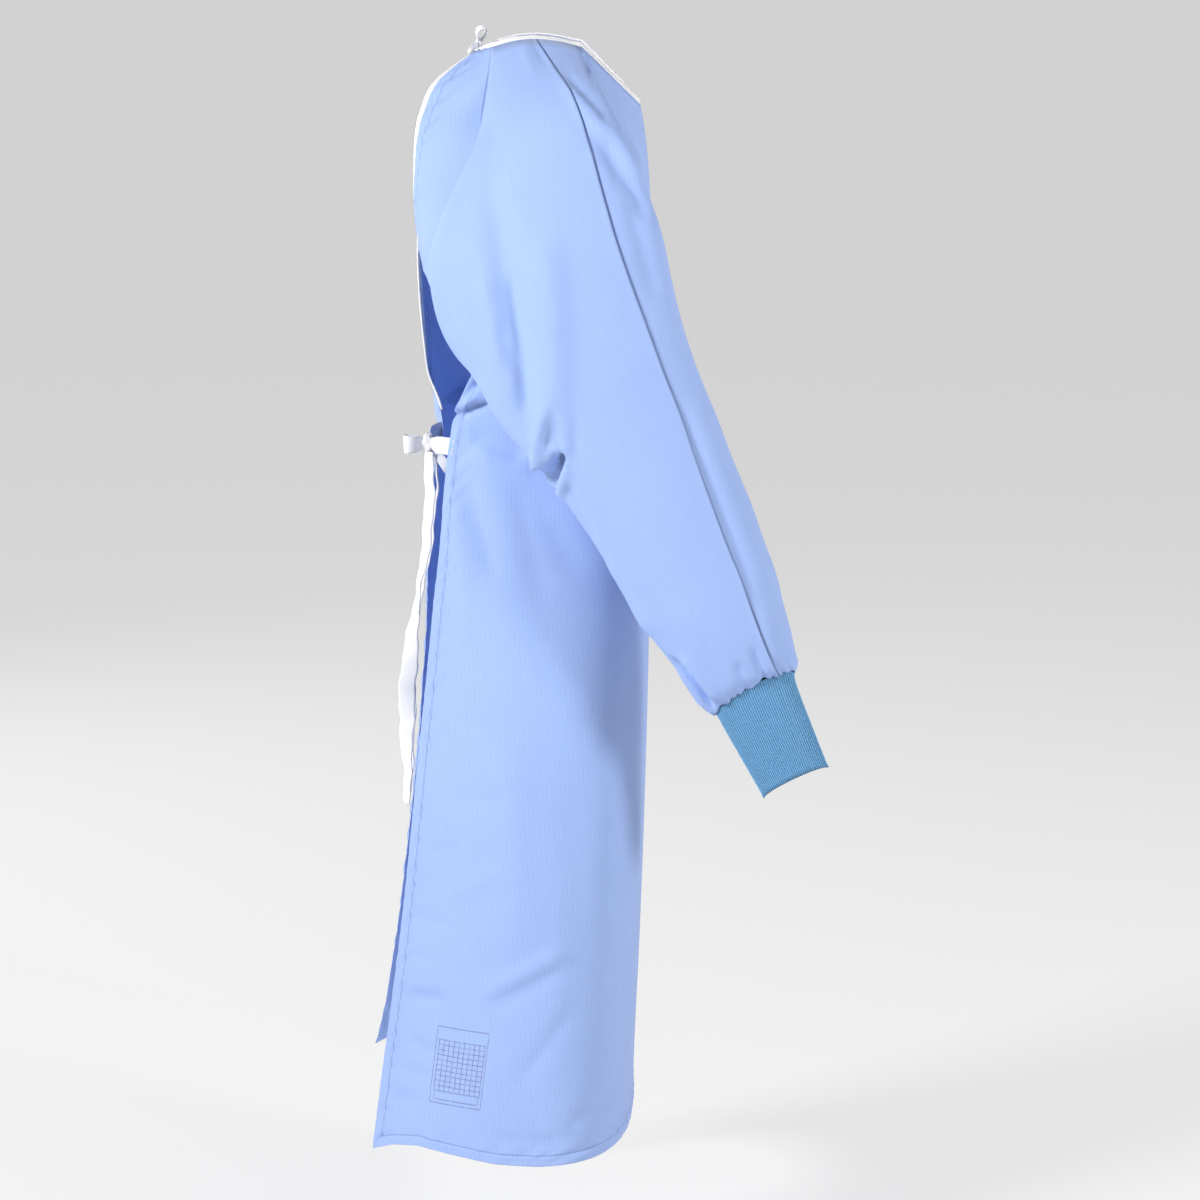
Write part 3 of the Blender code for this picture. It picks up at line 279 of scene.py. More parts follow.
SIDE_CREASES = (        # a is Y, on the body's right side
    (0.126, -0.911, 0.111, -0.904, 0.090, -0.898, 0.0040, -0.0022),
    (0.130, -0.944, 0.116, -0.946, 0.100, -0.952, 0.0040, -0.0014),
    (0.140, -0.980, 0.124, -0.986, 0.102, -0.994, 0.0045, -0.0026),
    (0.148, -1.030, 0.134, -1.033, 0.114, -1.032, 0.0045, -0.0018),
    (0.156, -1.076, 0.134, -1.073, 0.106, -1.076, 0.0050, -0.0044),
    (0.156, -1.066, 0.136, -1.062, 0.112, -1.064, 0.0050, 0.0024),
    (0.150, -1.125, 0.135, -1.131, 0.112, -1.142, 0.0045, -0.0026),
    (0.166, -1.160, 0.146, -1.162, 0.120, -1.168, 0.0045, -0.0028),
    (0.178, -1.193, 0.160, -1.190, 0.138, -1.194, 0.0038, -0.0040),
    (0.068, -1.069, 0.022, -1.041, -0.036, -1.015, 0.010, 0.0040),
    (0.062, -1.085, 0.020, -1.058, -0.030, -1.036, 0.010, -0.0024),
    (0.030, -1.174, -0.006, -1.127, -0.042, -1.080, 0.010, -0.0026),
    (0.100, -0.845, 0.060, -0.850, 0.028, -0.838, 0.010, -0.0020),
    (0.108, -0.960, 0.070, -0.935, 0.040, -0.925, 0.010, 0.0018),
    (0.060, -1.225, 0.010, -1.236, -0.050, -1.228, 0.006, -0.0030),
    (-0.030, -1.214, -0.060, -1.206, -0.086, -1.190, 0.007, -0.0026),
    (0.080, -0.428, 0.050, -0.443, 0.010, -0.450, 0.009, -0.0045),
    (0.076, -0.446, 0.046, -0.462, 0.004, -0.470, 0.009, 0.0030),
    (0.104, -0.4155, 0.086, -0.4025, 0.048, -0.3905, 0.0030, -0.0085),
    (0.104, -0.4060, 0.084, -0.3930, 0.046, -0.381, 0.0060, 0.0065),
    (0.090, -0.470, 0.066, -0.520, 0.052, -0.600, 0.012, -0.0034),
    (0.100, -0.480, 0.092, -0.560, 0.080, -0.680, 0.012, 0.0030),
    (0.030, -0.490, 0.010, -0.540, -0.004, -0.620, 0.014, -0.0018),
    (0.050, -0.440, 0.000, -0.500, -0.050, -0.600, 0.020, -0.0024),
    (0.040, -0.760, 0.030, -0.900, 0.024, -1.040, 0.026, 0.0040),
    (-0.040, -0.780, -0.048, -0.960, -0.052, -1.180, 0.028, -0.0040),
)
FRONT_CREASES = (       # a is X
    (-0.105, -0.420, -0.112, -0.800, -0.140, -1.240, 0.024, 0.0018),
    (-0.050, -0.560, -0.054, -0.850, -0.064, -1.240, 0.026, -0.0020),
    (0.028, -0.520, 0.030, -0.850, 0.040, -1.240, 0.024, 0.0016),
    (0.085, -0.440, 0.094, -0.820, 0.122, -1.240, 0.026, -0.0022),
    (-0.090, -0.080, -0.060, -0.150, -0.030, -0.180, 0.012, -0.0022),
    (0.090, -0.080, 0.060, -0.150, 0.030, -0.180, 0.012, -0.0022),
    (-0.150, -0.330, -0.110, -0.400, -0.080, -0.520, 0.020, -0.0020),
    (0.150, -0.330, 0.110, -0.400, 0.080, -0.520, 0.020, -0.0020),
)
BACK_CREASES = (        # a is X, on both backs, running from the waist tie
    (0.006, -0.430, 0.060, -0.390, 0.130, -0.330, 0.010, -0.0030),
    (0.006, -0.440, 0.070, -0.425, 0.150, -0.410, 0.012, 0.0026),
    (0.008, -0.452, 0.060, -0.475, 0.120, -0.540, 0.011, -0.0030),
    (0.012, -0.470, 0.040, -0.560, 0.070, -0.700, 0.014, 0.0026),
    (0.050, -0.760, 0.080, -0.940, 0.120, -1.200, 0.022, -0.0036),
    (0.110, -0.780, 0.140, -0.950, 0.175, -1.200, 0.022, 0.0030),
    (-0.120, -0.446, -0.140, -0.420, -0.160, -0.380, 0.010, -0.0022),
    (-0.118, -0.460, -0.138, -0.520, -0.156, -0.620, 0.012, -0.0022),
)

# Where two sides share a table of creases: how far those of the second side lie from it, and the share of its
# depths that they have.
INNER_SHIFT, INNER_SHARE = (0.0, 0.014, 0.045), 0.7
LEFT_YOKE_SHIFT, LEFT_YOKE_SHARE = (0.0, 0.004, 0.006), 0.9
LEFT_SIDE_SHIFT = (0.0, -0.012, 0.02)
CREASE_SIGHT = (-0.10, 0.25)    # how far a surface faces the viewer of a crease where it starts and is full
YOKE_TURN = 0.6                 # share of the front's facing that counts as the side's for the yoke
YOKE_FADE = (0.03, 0.09)        # distance from the middle of the chest over which its creases set in
SKIRT_FADE = (-0.335, -0.365)   # heights between which the creases of the skirt set in

# Relief along seams and hems: heights in metres, each with where it lies and its half width or fading length.
HEM_STEP_UP, HEM_BLUR = 0.0011, 0.0006
STITCH_GROOVE, STITCH_INSIDE, STITCH_HALF = -0.0013, 0.0018, 0.0009
LAP_START = 0.004
LAP_GROOVE, LAP_GROOVE_HALF = -0.0010, 0.0024
LAP_RIDGE, LAP_RIDGE_FADE = 0.0014, 0.005
BLOUSE, BLOUSE_UP, BLOUSE_HALF = 0.0035, 0.010, 0.012
RUFFLE, RUFFLE_OVER, RUFFLE_FADE = 0.0012, 0.0006, 0.006
GATHER_START, GATHER_GROW, GATHER_FADE = 0.6, 0.006, 0.008
CUFF_ROLL, CUFF_ROLL_HALF = 0.0008, 0.004

# Irregular waves along an edge. Each is a share, turns in radians for each metre, a start in radians, and the
# sway, turns and start of the slow wave that shifts it.
PUCKER_WAVES = ((1.0, 430, 0.0, 1.7, 61, 0.0), (0.8, 260, 0.0, 2.0, 37, 0.0))
RUFFLE_WAVES = ((1.0, 470, 0.0, 2.4, 120, 0.0), (0.7, 230, 0.0, 1.5, 75, 1.0))
GATHER_WAVES = ((1.0, 520, math.pi / 2, 2.0, 90, 0.0), (0.6, 310, math.pi / 2 + 1.0, 0.0, 0, 0.0))
BINDING_WAVES = ((0.00035, 520, 0.0, 1.3, 70, 0.0),)
PUCKER_DIRECTION = (0.9, 0.7, 1.0)      # along both the back edges and the bottom hem


def table(rows, names):
    """Columns of a table by their names."""
    values = np.array(rows, dtype=float)
    return {name: values[:, column] for column, name in enumerate(names)}


def smooth(knots, rows, at):
    """Curve through the rows at the knots; each slope is the weighted mean of its two neighbouring chords."""
    knots, rows, at = (np.asarray(value, dtype=float) for value in (knots, rows, at))
    steps = np.diff(knots)
    chords = np.diff(rows, axis=0) / steps[:, None]
    slopes = np.empty_like(rows)
    slopes[0], slopes[-1] = chords[0], chords[-1]
    slopes[1:-1] = (chords[:-1] * steps[1:, None] + chords[1:] * steps[:-1, None]) / (
        steps[:-1] + steps[1:])[:, None]
    span = np.clip(np.searchsorted(knots, at) - 1, 0, len(steps) - 1)
    width = steps[span][:, None]
    share = (at - knots[span])[:, None] / width
    return (rows[span] * (1 + 2 * share) * (1 - share) ** 2
            + slopes[span] * width * share * (1 - share) ** 2
            + rows[span + 1] * share ** 2 * (3 - 2 * share)
            + slopes[span + 1] * width * share ** 2 * (share - 1))


def unit(vectors):
    """Vectors of length 1 in the same directions."""
    return vectors / np.linalg.norm(vectors, axis=-1, keepdims=True)


def bell(value, half_width):
    """Soft bump of a value round zero: exp(-(value / half width)^2)."""
    return np.exp(-(value / half_width) ** 2)


def waves(run, rows):
    """Sum over the rows of share times sin(pitch run + start + sway sin(slow run + slow start))."""
    return sum(share * np.sin(run * pitch + start + sway * np.sin(run * slow + slow_start))
               for share, pitch, start, sway, slow, slow_start in rows)


def between_points(at, length, points):
    """Points at the given lengths on straight lines between known ones."""
    return np.column_stack([np.interp(at, length, points[:, axis]) for axis in range(3)])


def run_length(points):
    """Length along a line of points, from 0 at its start."""
    steps = np.linalg.norm(np.diff(points, axis=0), axis=1)
    return np.concatenate(([0.0], np.cumsum(steps)))


def front_half_row(side, middle, turn, squareness):
    """Curve from a side point to the middle of the front: a part of a quarter round, squared by a power."""
    angle = np.linspace(math.radians(turn), 0.0, CURVE_SAMPLES)
    across = (np.sin(angle) / math.sin(math.radians(turn))) ** squareness
    back = (1 - np.cos(angle) ** squareness) / (1 - math.cos(math.radians(turn)) ** squareness)
    rise = (1 - np.cos(angle)) / (1 - math.cos(math.radians(turn)))
    return np.column_stack((side[0] * across,
                            middle[0] + (side[1] - middle[0]) * back,
                            middle[1] + (side[2] - middle[1]) * rise))


def back_row(edge, corner, side):
    """Curve from the back edge to a side point, drawn towards the corner between them."""
    return bend(edge, np.array([corner[0], corner[1], (edge[2] + side[2]) / 2]), side, CURVE_SAMPLES)


def mirrored(points):
    """The same points on the other side of the gown."""
    return points * np.array([-1.0, 1.0, 1.0])


def raglan_rows(rows, count):
    """Rows of a raglan table at equal lengths along its seam, from the underarm to the neck."""
    values = np.array(rows)
    length = run_length(values[:, :3])
    return smooth(length, values, np.linspace(0.0, length[-1], count + 1))


def ring(values, turns):
    """Points of a sleeve ring at the given turns from its front over its outer side."""
    row = dict(zip(SLEEVE_COLUMN_NAMES, values))
    front = np.array([0.0, row["front_y"], row["front_z"]])
    rear = np.array([0.0, row["rear_y"], row["rear_z"]])
    centre = (front + rear) / 2
    centre[0] = (row["outer_x"] + row["inner_x"]) / 2
    forward = front - centre
    forward[0] = row["skew"]
    outer = np.array([row["outer_x"] - centre[0], 0.0, row["outer_z"] - centre[2]])
    inner = np.array([centre[0] - row["inner_x"], 0.0, centre[2] - row["inner_z"]])
    sideways = np.where(np.sin(turns)[:, None] > 0, outer, inner)
    return centre + np.cos(turns)[:, None] * forward + np.sin(turns)[:, None] * sideways


def ring_turns(seam_share, ring_zero, half):
    """Turns of a ring's columns: partly even, partly spaced as the armhole's own points are."""
    seam = math.acos(2 * seam_share - 1)
    under = math.radians(UNDERARM_TURN)
    front_length = run_length(ring_zero[:half + 1])
    back_length = run_length(ring_zero[half:])
    evenly = np.linspace(0.0, 1.0, half + 1)
    front_share = NECK_SPREAD * front_length / front_length[-1] + (1 - NECK_SPREAD) * evenly
    back_share = NECK_SPREAD * back_length / back_length[-1] + (1 - NECK_SPREAD) * evenly
    front = seam + (under - seam) * front_share
    back = under + (seam - 2 * math.pi - under) * back_share
    return np.concatenate((front, back[1:]))


def sleeve_rows(ring_zero, rings, between):
    """Rows of the right sleeve through all its rings; between is how many rows each gap is cut into."""
    half = len(ring_zero) // 2
    known = [ring_zero]
    for values in rings:
        known.append(ring(values, ring_turns(values[-1], ring_zero, half)))
    known = np.array(known)
    steps = np.linalg.norm(np.diff(known, axis=0), axis=2).mean(axis=1)
    knots = np.concatenate(([0.0], np.cumsum(steps)))
    at = [knots[0]]
    for gap, count in enumerate(between):
        at.extend(knots[gap] + (knots[gap + 1] - knots[gap]) * np.arange(1, count + 1) / count)
    flat = smooth(knots, known.reshape(len(known), -1), np.array(at))
    rows = flat.reshape(len(at), -1, 3)
    rows[0] = ring_zero
    return rows


def grid_faces(row_count, column_count, start=0, flip=False):
    """Four-sided faces of a grid of points numbered row by row."""
    row, column = np.meshgrid(np.arange(row_count - 1), np.arange(column_count - 1), indexing="ij")
    corner = (start + row * column_count + column).ravel()
    faces = np.column_stack((corner, corner + 1, corner + column_count + 1, corner + column_count))
    return faces[:, ::-1] if flip else faces


def face_normals(points, faces):
    """Normal of each face, as long as twice the face's area."""
    return np.cross(points[faces[:, 2]] - points[faces[:, 0]], points[faces[:, 3]] - points[faces[:, 1]])


def shared_normals(surfaces):
    """Normals of every surface's points, the same on both sides of a seam, and which points lie on seams."""
    keys = np.vstack([np.round(points / SAME_POINT).astype(np.int64) for points, _ in surfaces.values()])
    _, same = np.unique(keys, axis=0, return_inverse=True)
    same = same.ravel()
    shared = np.zeros((same.max() + 1, 3))
    users = np.zeros(len(shared))
    numbers = {}
    start = 0
    for name, (points, faces) in surfaces.items():
        own = np.zeros_like(points)
        normals = unit(face_normals(points, faces))
        for corner in range(4):
            np.add.at(own, faces[:, corner], normals)
        numbers[name] = same[start:start + len(points)]
        np.add.at(shared, numbers[name], unit(own))
        np.add.at(users, numbers[name], 1)
        start += len(points)
    shared = unit(shared)
    return {name: (shared[number], users[number] > 1) for name, number in numbers.items()}


def soft_step(low, high, value):
    """0 below low, 1 above high, and a smooth rise between them: 3t^2 - 2t^3 of the share t of the way."""
    share = np.clip((value - low) / (high - low), 0.0, 1.0)
    return share * share * (3 - 2 * share)


def spread(points, at):
    """Points along a line at the given lengths from its start."""
    return between_points(at, run_length(points), points)


def front_row(side, middle, turn, squareness):
    """Even row of points from the right side round the front to the left side."""
    line = front_half_row(side, middle, turn, squareness)
    half = spread(line, np.linspace(0.0, run_length(line)[-1], FRONT_FACETS + 1))
    return np.vstack((half, mirrored(half[-2::-1])))


def edge_row(edge, corner, side):
    """Row of a back from its free edge to its side point, with short facets beside the edge."""
    line = back_row(edge, corner, side)
    length = run_length(line)[-1]
    lead = min(EDGE_FACETS * EDGE_STEP, 0.45 * length)
    at = np.concatenate((np.linspace(0.0, lead, EDGE_FACETS + 1),
                         np.linspace(lead, length, BACK_FACETS + 1)[1:]))
    return spread(line, at)


def skirt_rows():
    """Rows of the body from the hem up to the underarm, each from the right back edge to the left one."""
    columns = table(BODY, BODY_COLUMNS)
    low, high = columns["height"][-1], columns["height"][0]
    hem_top = low + HEM_ROWS * HEM_STEP
    heights = np.concatenate((np.linspace(low, hem_top, HEM_ROWS + 1),
                              np.linspace(hem_top, high, SKIRT_ROWS + 1)[1:]))
    values = smooth(-columns["height"], np.array(BODY)[:, 1:], -heights)
    rows = []
    for height, value in zip(heights, values):
        row = dict(zip(BODY_COLUMNS[1:], value))
        right_side = np.array([-row["half_width"], row["side"], height])
        right, left = (edge_row(np.array([row[hand + "_edge_x"], row[hand + "_edge_y"], height]),
                                (side[0], row[hand + "_corner"]), side)
                       for hand, side in (("right", right_side), ("left", mirrored(right_side))))
        front = front_row(right_side, (row["front"], height), 90, row["squareness"])
        points = np.vstack((right, front[1:-1], left[::-1]))
        down = (high - height) / (high - low)
        points[:, 2] += points[:, :2] @ HEM_TILT * down ** 2
        points[:, 2] += np.interp(points[:, 1], *np.transpose(HEM_RISE)) * down ** 4
        rows.append(points)
    return np.array(rows)


def front_tab():
    """Rows of the chest between the two front raglan seams, from the underarm to the neckline."""
    tab = []
    for row in raglan_rows(FRONT_RAGLAN, TAB_ROWS):
        values = dict(zip(FRONT_COLUMN_NAMES, row))
        tab.append(front_row(row[:3], (values["middle_y"], values["middle_z"]), values["turn"],
                             values["squareness"]))
    return np.array(tab)


def back_tab(left):
    """Rows of one back from its free edge to its raglan seam, from the underarm to the neckline."""
    tab = []
    for row in raglan_rows(BACK_RAGLAN, TAB_ROWS):
        values = dict(zip(BACK_COLUMN_NAMES, row))
        hand = "left_" if left else "right_"
        edge = np.array([values[hand + "edge_x"], values[hand + "edge_y"], values[hand + "edge_z"]])
        side = mirrored(row[:3]) if left else row[:3]
        tab.append(edge_row(edge, (values[hand + "corner_x"], values[hand + "corner_y"]), side))
    return np.array(tab)


def armhole(front_rows, back_rows):
    """Top ring of the right sleeve: overarm, neck, front raglan, underarm, back raglan, neck, overarm."""
    share = np.linspace(0.0, 1.0, NECK_COLUMNS + 1)
    knots = (0.0, 0.5, 1.0)
    front_neck = smooth(knots, NECK_FRONT, share)
    back_neck = smooth(knots, NECK_BACK, share)
    return np.vstack((front_neck[:-1], front_rows[::-1, 0], back_rows[1:, -1], back_neck[-2::-1]))


def row_run(rows, start):
    """Length along every row, measured from its column start."""
    steps = np.linalg.norm(np.diff(rows, axis=1), axis=2)
    run = np.concatenate((np.zeros((len(rows), 1)), np.cumsum(steps, axis=1)), axis=1)
    return run - run[:, start][:, None]


def patch(rows, across, along, edge, flip=False):
    """One grid as points, faces and three values a point: across and along the cloth, and from its edge."""
    values = np.stack(np.broadcast_arrays(across, along, edge), axis=-1).astype(float)
    return rows.reshape(-1, 3), grid_faces(rows.shape[0], rows.shape[1], flip=flip), values.reshape(-1, 3)


def joined(patches):
    """Patches that share points along their borders, as one surface."""
    points = np.vstack([part[0] for part in patches])
    starts = np.cumsum([0] + [len(part[0]) for part in patches[:-1]])
    faces = np.vstack([part[1] + start for part, start in zip(patches, starts)])
    values = np.vstack([part[2] for part in patches])
    _, first, same = np.unique(np.round(points / SAME_POINT).astype(np.int64), axis=0, return_index=True,
                               return_inverse=True)
    return points[first], same.ravel()[faces], values[first]


def body_surface(skirt, chest, right_back, left_back):
    """The apron front with both backs as one cloth: its grids joined along the level of the underarm."""
    middle = EDGE_FACETS + BACK_FACETS + FRONT_FACETS
    across = row_run(skirt, middle)
    from_edge = np.minimum(row_run(skirt, 0), -row_run(skirt, skirt.shape[1] - 1))
    up = np.linalg.norm(np.diff(skirt, axis=0), axis=2).mean(axis=1)
    from_hem = np.concatenate(([0.0], np.cumsum(up)))[:, None]
    pieces = [patch(skirt, across, skirt[..., 2], np.minimum(from_edge, from_hem)),
              patch(chest, row_run(chest, FRONT_FACETS), chest[..., 2], 1.0)]
    for back, side, flip in ((right_back, -1, False), (left_back, 1, True)):
        run = row_run(back, back.shape[1] - 1)
        start = across[-1, EDGE_FACETS + BACK_FACETS if side < 0 else -1 - EDGE_FACETS - BACK_FACETS]
        pieces.append(patch(back, start - side * run, back[..., 2], row_run(back, 0), flip=flip))
    return joined(pieces)


def bend(start, middle, end, count):
    """Points on a curve drawn towards its middle: start (1-t)^2 + 2 middle t(1-t) + end t^2."""
    share = np.linspace(0.0, 1.0, count)[:, None]
    return start * (1 - share) ** 2 + 2 * middle * share * (1 - share) + end * share ** 2


def crease(flat, row):
    """Height of one crease: depth times exp(-(distance / width)^2), fading over a fifth at each end."""
    values = dict(zip(CREASE_COLUMN_NAMES, row))
    start, middle, end = (np.array([values[place + "_a"], values[place + "_z"]])
                          for place in ("start", "middle", "end"))
    path = bend(start, middle, end, CREASE_POINTS)
    length = run_length(path)
    nearest = np.full(len(flat), np.inf)
    along = np.zeros(len(flat))
    for start, end, done, total in zip(path[:-1], path[1:], length[:-1], length[1:]):
        step = end - start
        share = np.clip((flat - start) @ step / (step @ step), 0.0, 1.0)
        distance = np.linalg.norm(flat - start - share[:, None] * step, axis=1)
        closer = distance < nearest
        nearest = np.where(closer, distance, nearest)
        along = np.where(closer, (done + share * (total - done)) / length[-1], along)
    fade = soft_step(-0.05, 0.22, along) * soft_step(-0.05, 0.22, 1 - along)
    return values["depth"] * bell(nearest, values["width"]) * fade


def creases(points, facing, rows, axis):
    """Sum of a table's creases on the side that faces its viewer; axis is the level one of the two seen."""
    flat = points[:, (axis, 2)]
    seen = facing > CREASE_SIGHT[0]
    height = np.zeros(len(points))
    for row in rows:
        height[seen] += crease(flat[seen], row)
    return height * soft_step(*CREASE_SIGHT, facing)


def sleeve_relief(points, normals, away, hand):
    """Creases of a sleeve on its outer side, weaker ones on its inner side, fading towards the armhole."""
    outer = creases(points, normals[:, 0] * hand, SLEEVE_CREASES, 1)
    inner = creases(points + INNER_SHIFT, -normals[:, 0] * hand, SLEEVE_CREASES[::2], 1) * INNER_SHARE
    return (outer + inner) * soft_step(0.0, 0.03, away)


def yoke_relief(points, normals):
    """Creases that cross the raglan seams, the same on the body and on the sleeves."""
    height = 0.0
    for side, shift, share in ((-1, 0.0, 1.0), (1, LEFT_YOKE_SHIFT, LEFT_YOKE_SHARE)):
        facing = side * normals[:, 0] - normals[:, 1] * YOKE_TURN
        relief = creases(points + np.array(shift), facing, YOKE_CREASES, 1)
        height = height + share * relief * soft_step(*YOKE_FADE, side * points[:, 0])
    return height


def body_relief(points, normals, edge, hem_width, pucker):
    """Creases of the body, its raised hems with their stitch groove, and the pucker of the hemmed edges."""
    below = soft_step(*SKIRT_FADE, points[:, 2])
    height = creases(points, -normals[:, 0], SIDE_CREASES, 1) * below
    height += creases(points + LEFT_SIDE_SHIFT, normals[:, 0], SIDE_CREASES[3:], 1) * below
    height += creases(points, -normals[:, 1], FRONT_CREASES, 0)
    height += creases(points, normals[:, 1], BACK_CREASES, 0)
    inside = edge - hem_width
    hem = soft_step(HEM_BLUR, -HEM_BLUR, inside)
    height += HEM_STEP_UP * hem + STITCH_GROOVE * bell(inside + STITCH_INSIDE, STITCH_HALF)
    near = bell(inside, np.where(inside < 0, hem_width * 0.8, hem_width * 1.5))
    return height + pucker * waves(points @ PUCKER_DIRECTION, PUCKER_WAVES) * near


def surfaces():
    """Every cloth surface of the gown at its present settings, and the plain rows that they came from."""
    sizes = bpy.context.scene.gown_sizes
    return draped(sizes.hem_width, sizes.pucker, sizes.gather)


@functools.lru_cache(maxsize=1)
def draped(hem_width, pucker, gather):
    """Every cloth surface of the gown after its creases: name to points, faces, values and normals."""
    skirt, chest = skirt_rows(), front_tab()
    right_back, left_back = back_tab(left=False), back_tab(left=True)
    skirt[-1] = np.vstack((right_back[0], chest[0, 1:-1], left_back[0, ::-1]))
    top = armhole(chest, right_back)
    sleeve = sleeve_rows(top, SLEEVE, SLEEVE_ROWS)
    half = sleeve.shape[1] // 2
    cuff_turns = ring_turns(SLEEVE[-1][-1], top, half)
    found = {"body_panel": body_surface(skirt, chest, right_back, left_back)}
    down_arm = {}
    for hand in ("right", "left"):
        limb = sleeve if hand == "right" else mirrored(sleeve)
        along = run_length(limb.mean(axis=1))
        if hand == "left":
            limb = limb + left_swing(along)[:, None, None] * np.array([0.0, 1.0, 0.0])
        down_arm[hand] = unit(limb[-1].mean(axis=0) - limb[-1 - BESIDE].mean(axis=0))
        flip = hand == "right"
        down = np.broadcast_to(along[:, None], limb.shape[:2])
        found["sleeve_%s_front" % hand] = patch(limb[:, :half + 1], row_run(limb[:, :half + 1], 0),
                                                down[:, :half + 1], row_run(limb[:, :half + 1], 0), flip)
        back_run = row_run(limb[:, half:], half)
        found["sleeve_%s_back" % hand] = patch(limb[:, half:], back_run, down[:, half:], -back_run, flip)
    normals = shared_normals({name: surface[:2] for name, surface in found.items()})
    result = {}
    for name, (points, faces, values) in found.items():
        normal = normals[name][0]
        height = yoke_relief(points, normal)
        if name == "body_panel":
            height += body_relief(points, normal, values[:, 2], hem_width, pucker)
        else:
            hand = -1 if "right" in name else 1
            height += sleeve_relief(points, normal, values[:, 1], hand)
            height += sleeve_ends(values, "front" in name, gather)
        points = points + normal * height[:, None]
        if "sleeve" in name:
            from_cuff = values[:, 1].max() - values[:, 1]
            points = points + ruffle(np.abs(values[:, 0]), from_cuff)[:, None] * down_arm[name.split("_")[1]]
            # The distance from the cuff joins the distance from the seam, so the painted seam shadow also
            # runs along the cuff join.
            values = np.column_stack((values[:, :2], np.minimum(values[:, 2], from_cuff)))
        result[name] = (points, faces, values, normal)
    return result, (skirt, chest, right_back, left_back, sleeve, cuff_turns)


def left_swing(along):
    """How far the left sleeve swings back: a share of its length, setting in softly below the shoulder."""
    share = np.clip(along / LEFT_SWING_START, 0.0, 1.0)
    return LEFT_SWING * along * share ** 2 * (3 - 2 * share)


def ruffle(run, from_cuff):
    """How far the gathered edge of a sleeve reaches over the cuff: waves round the arm, gone 12 mm up."""
    return (RUFFLE * waves(run, RUFFLE_WAVES) + RUFFLE_OVER) * bell(from_cuff, RUFFLE_FADE)


def sleeve_ends(values, front, gather):
    """Lap of the overarm seam, raised on the rear half, and the gathers that run into the cuff."""
    run, down, seam = np.abs(values[:, 0]), values[:, 1], values[:, 2]
    lap = LAP_GROOVE * bell(seam, LAP_GROOVE_HALF) if front else LAP_RIDGE * np.exp(-seam / LAP_RIDGE_FADE)
    from_cuff = down.max() - down
    swell = (GATHER_START + from_cuff / GATHER_GROW) * np.exp(-from_cuff / GATHER_FADE)
    height = BLOUSE * bell(from_cuff - BLOUSE_UP, BLOUSE_HALF) + gather * waves(run, GATHER_WAVES) * swell
    return height + lap * soft_step(0.0, LAP_START, down)


def add_mesh(name, points, faces, values, material):
    """One mesh object with a UV map of metres across and along the cloth, and its distance from the edge."""
    mesh = bpy.data.meshes.new(name)
    mesh.from_pydata(points.tolist(), [], faces if isinstance(faces, list) else faces.tolist())
    mesh.shade_smooth()
    if values is not None:
        layer = mesh.uv_layers.new(name="cloth")
        layer.data.foreach_set("uv", values[faces.ravel(), :2].astype(np.float32).ravel())
        distance = mesh.attributes.new("from_edge", "FLOAT", "POINT")
        distance.data.foreach_set("value", values[:, 2].astype(np.float32))
    mesh.materials.append(material)
    piece = bpy.data.objects.new(name, mesh)
    bpy.context.scene.collection.objects.link(piece)
    return piece


def thicken(piece, thickness, offset=-1.0):
    """Gives a cloth surface its wall."""
    wall = piece.modifiers.new("wall", "SOLIDIFY")
    wall.thickness = thickness
    wall.offset = offset
    return piece


def seat(piece, node):
    """Lets a piece ride on the gown's one body in the place of its solid."""
    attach(piece, "root")
    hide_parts(node)
    return piece


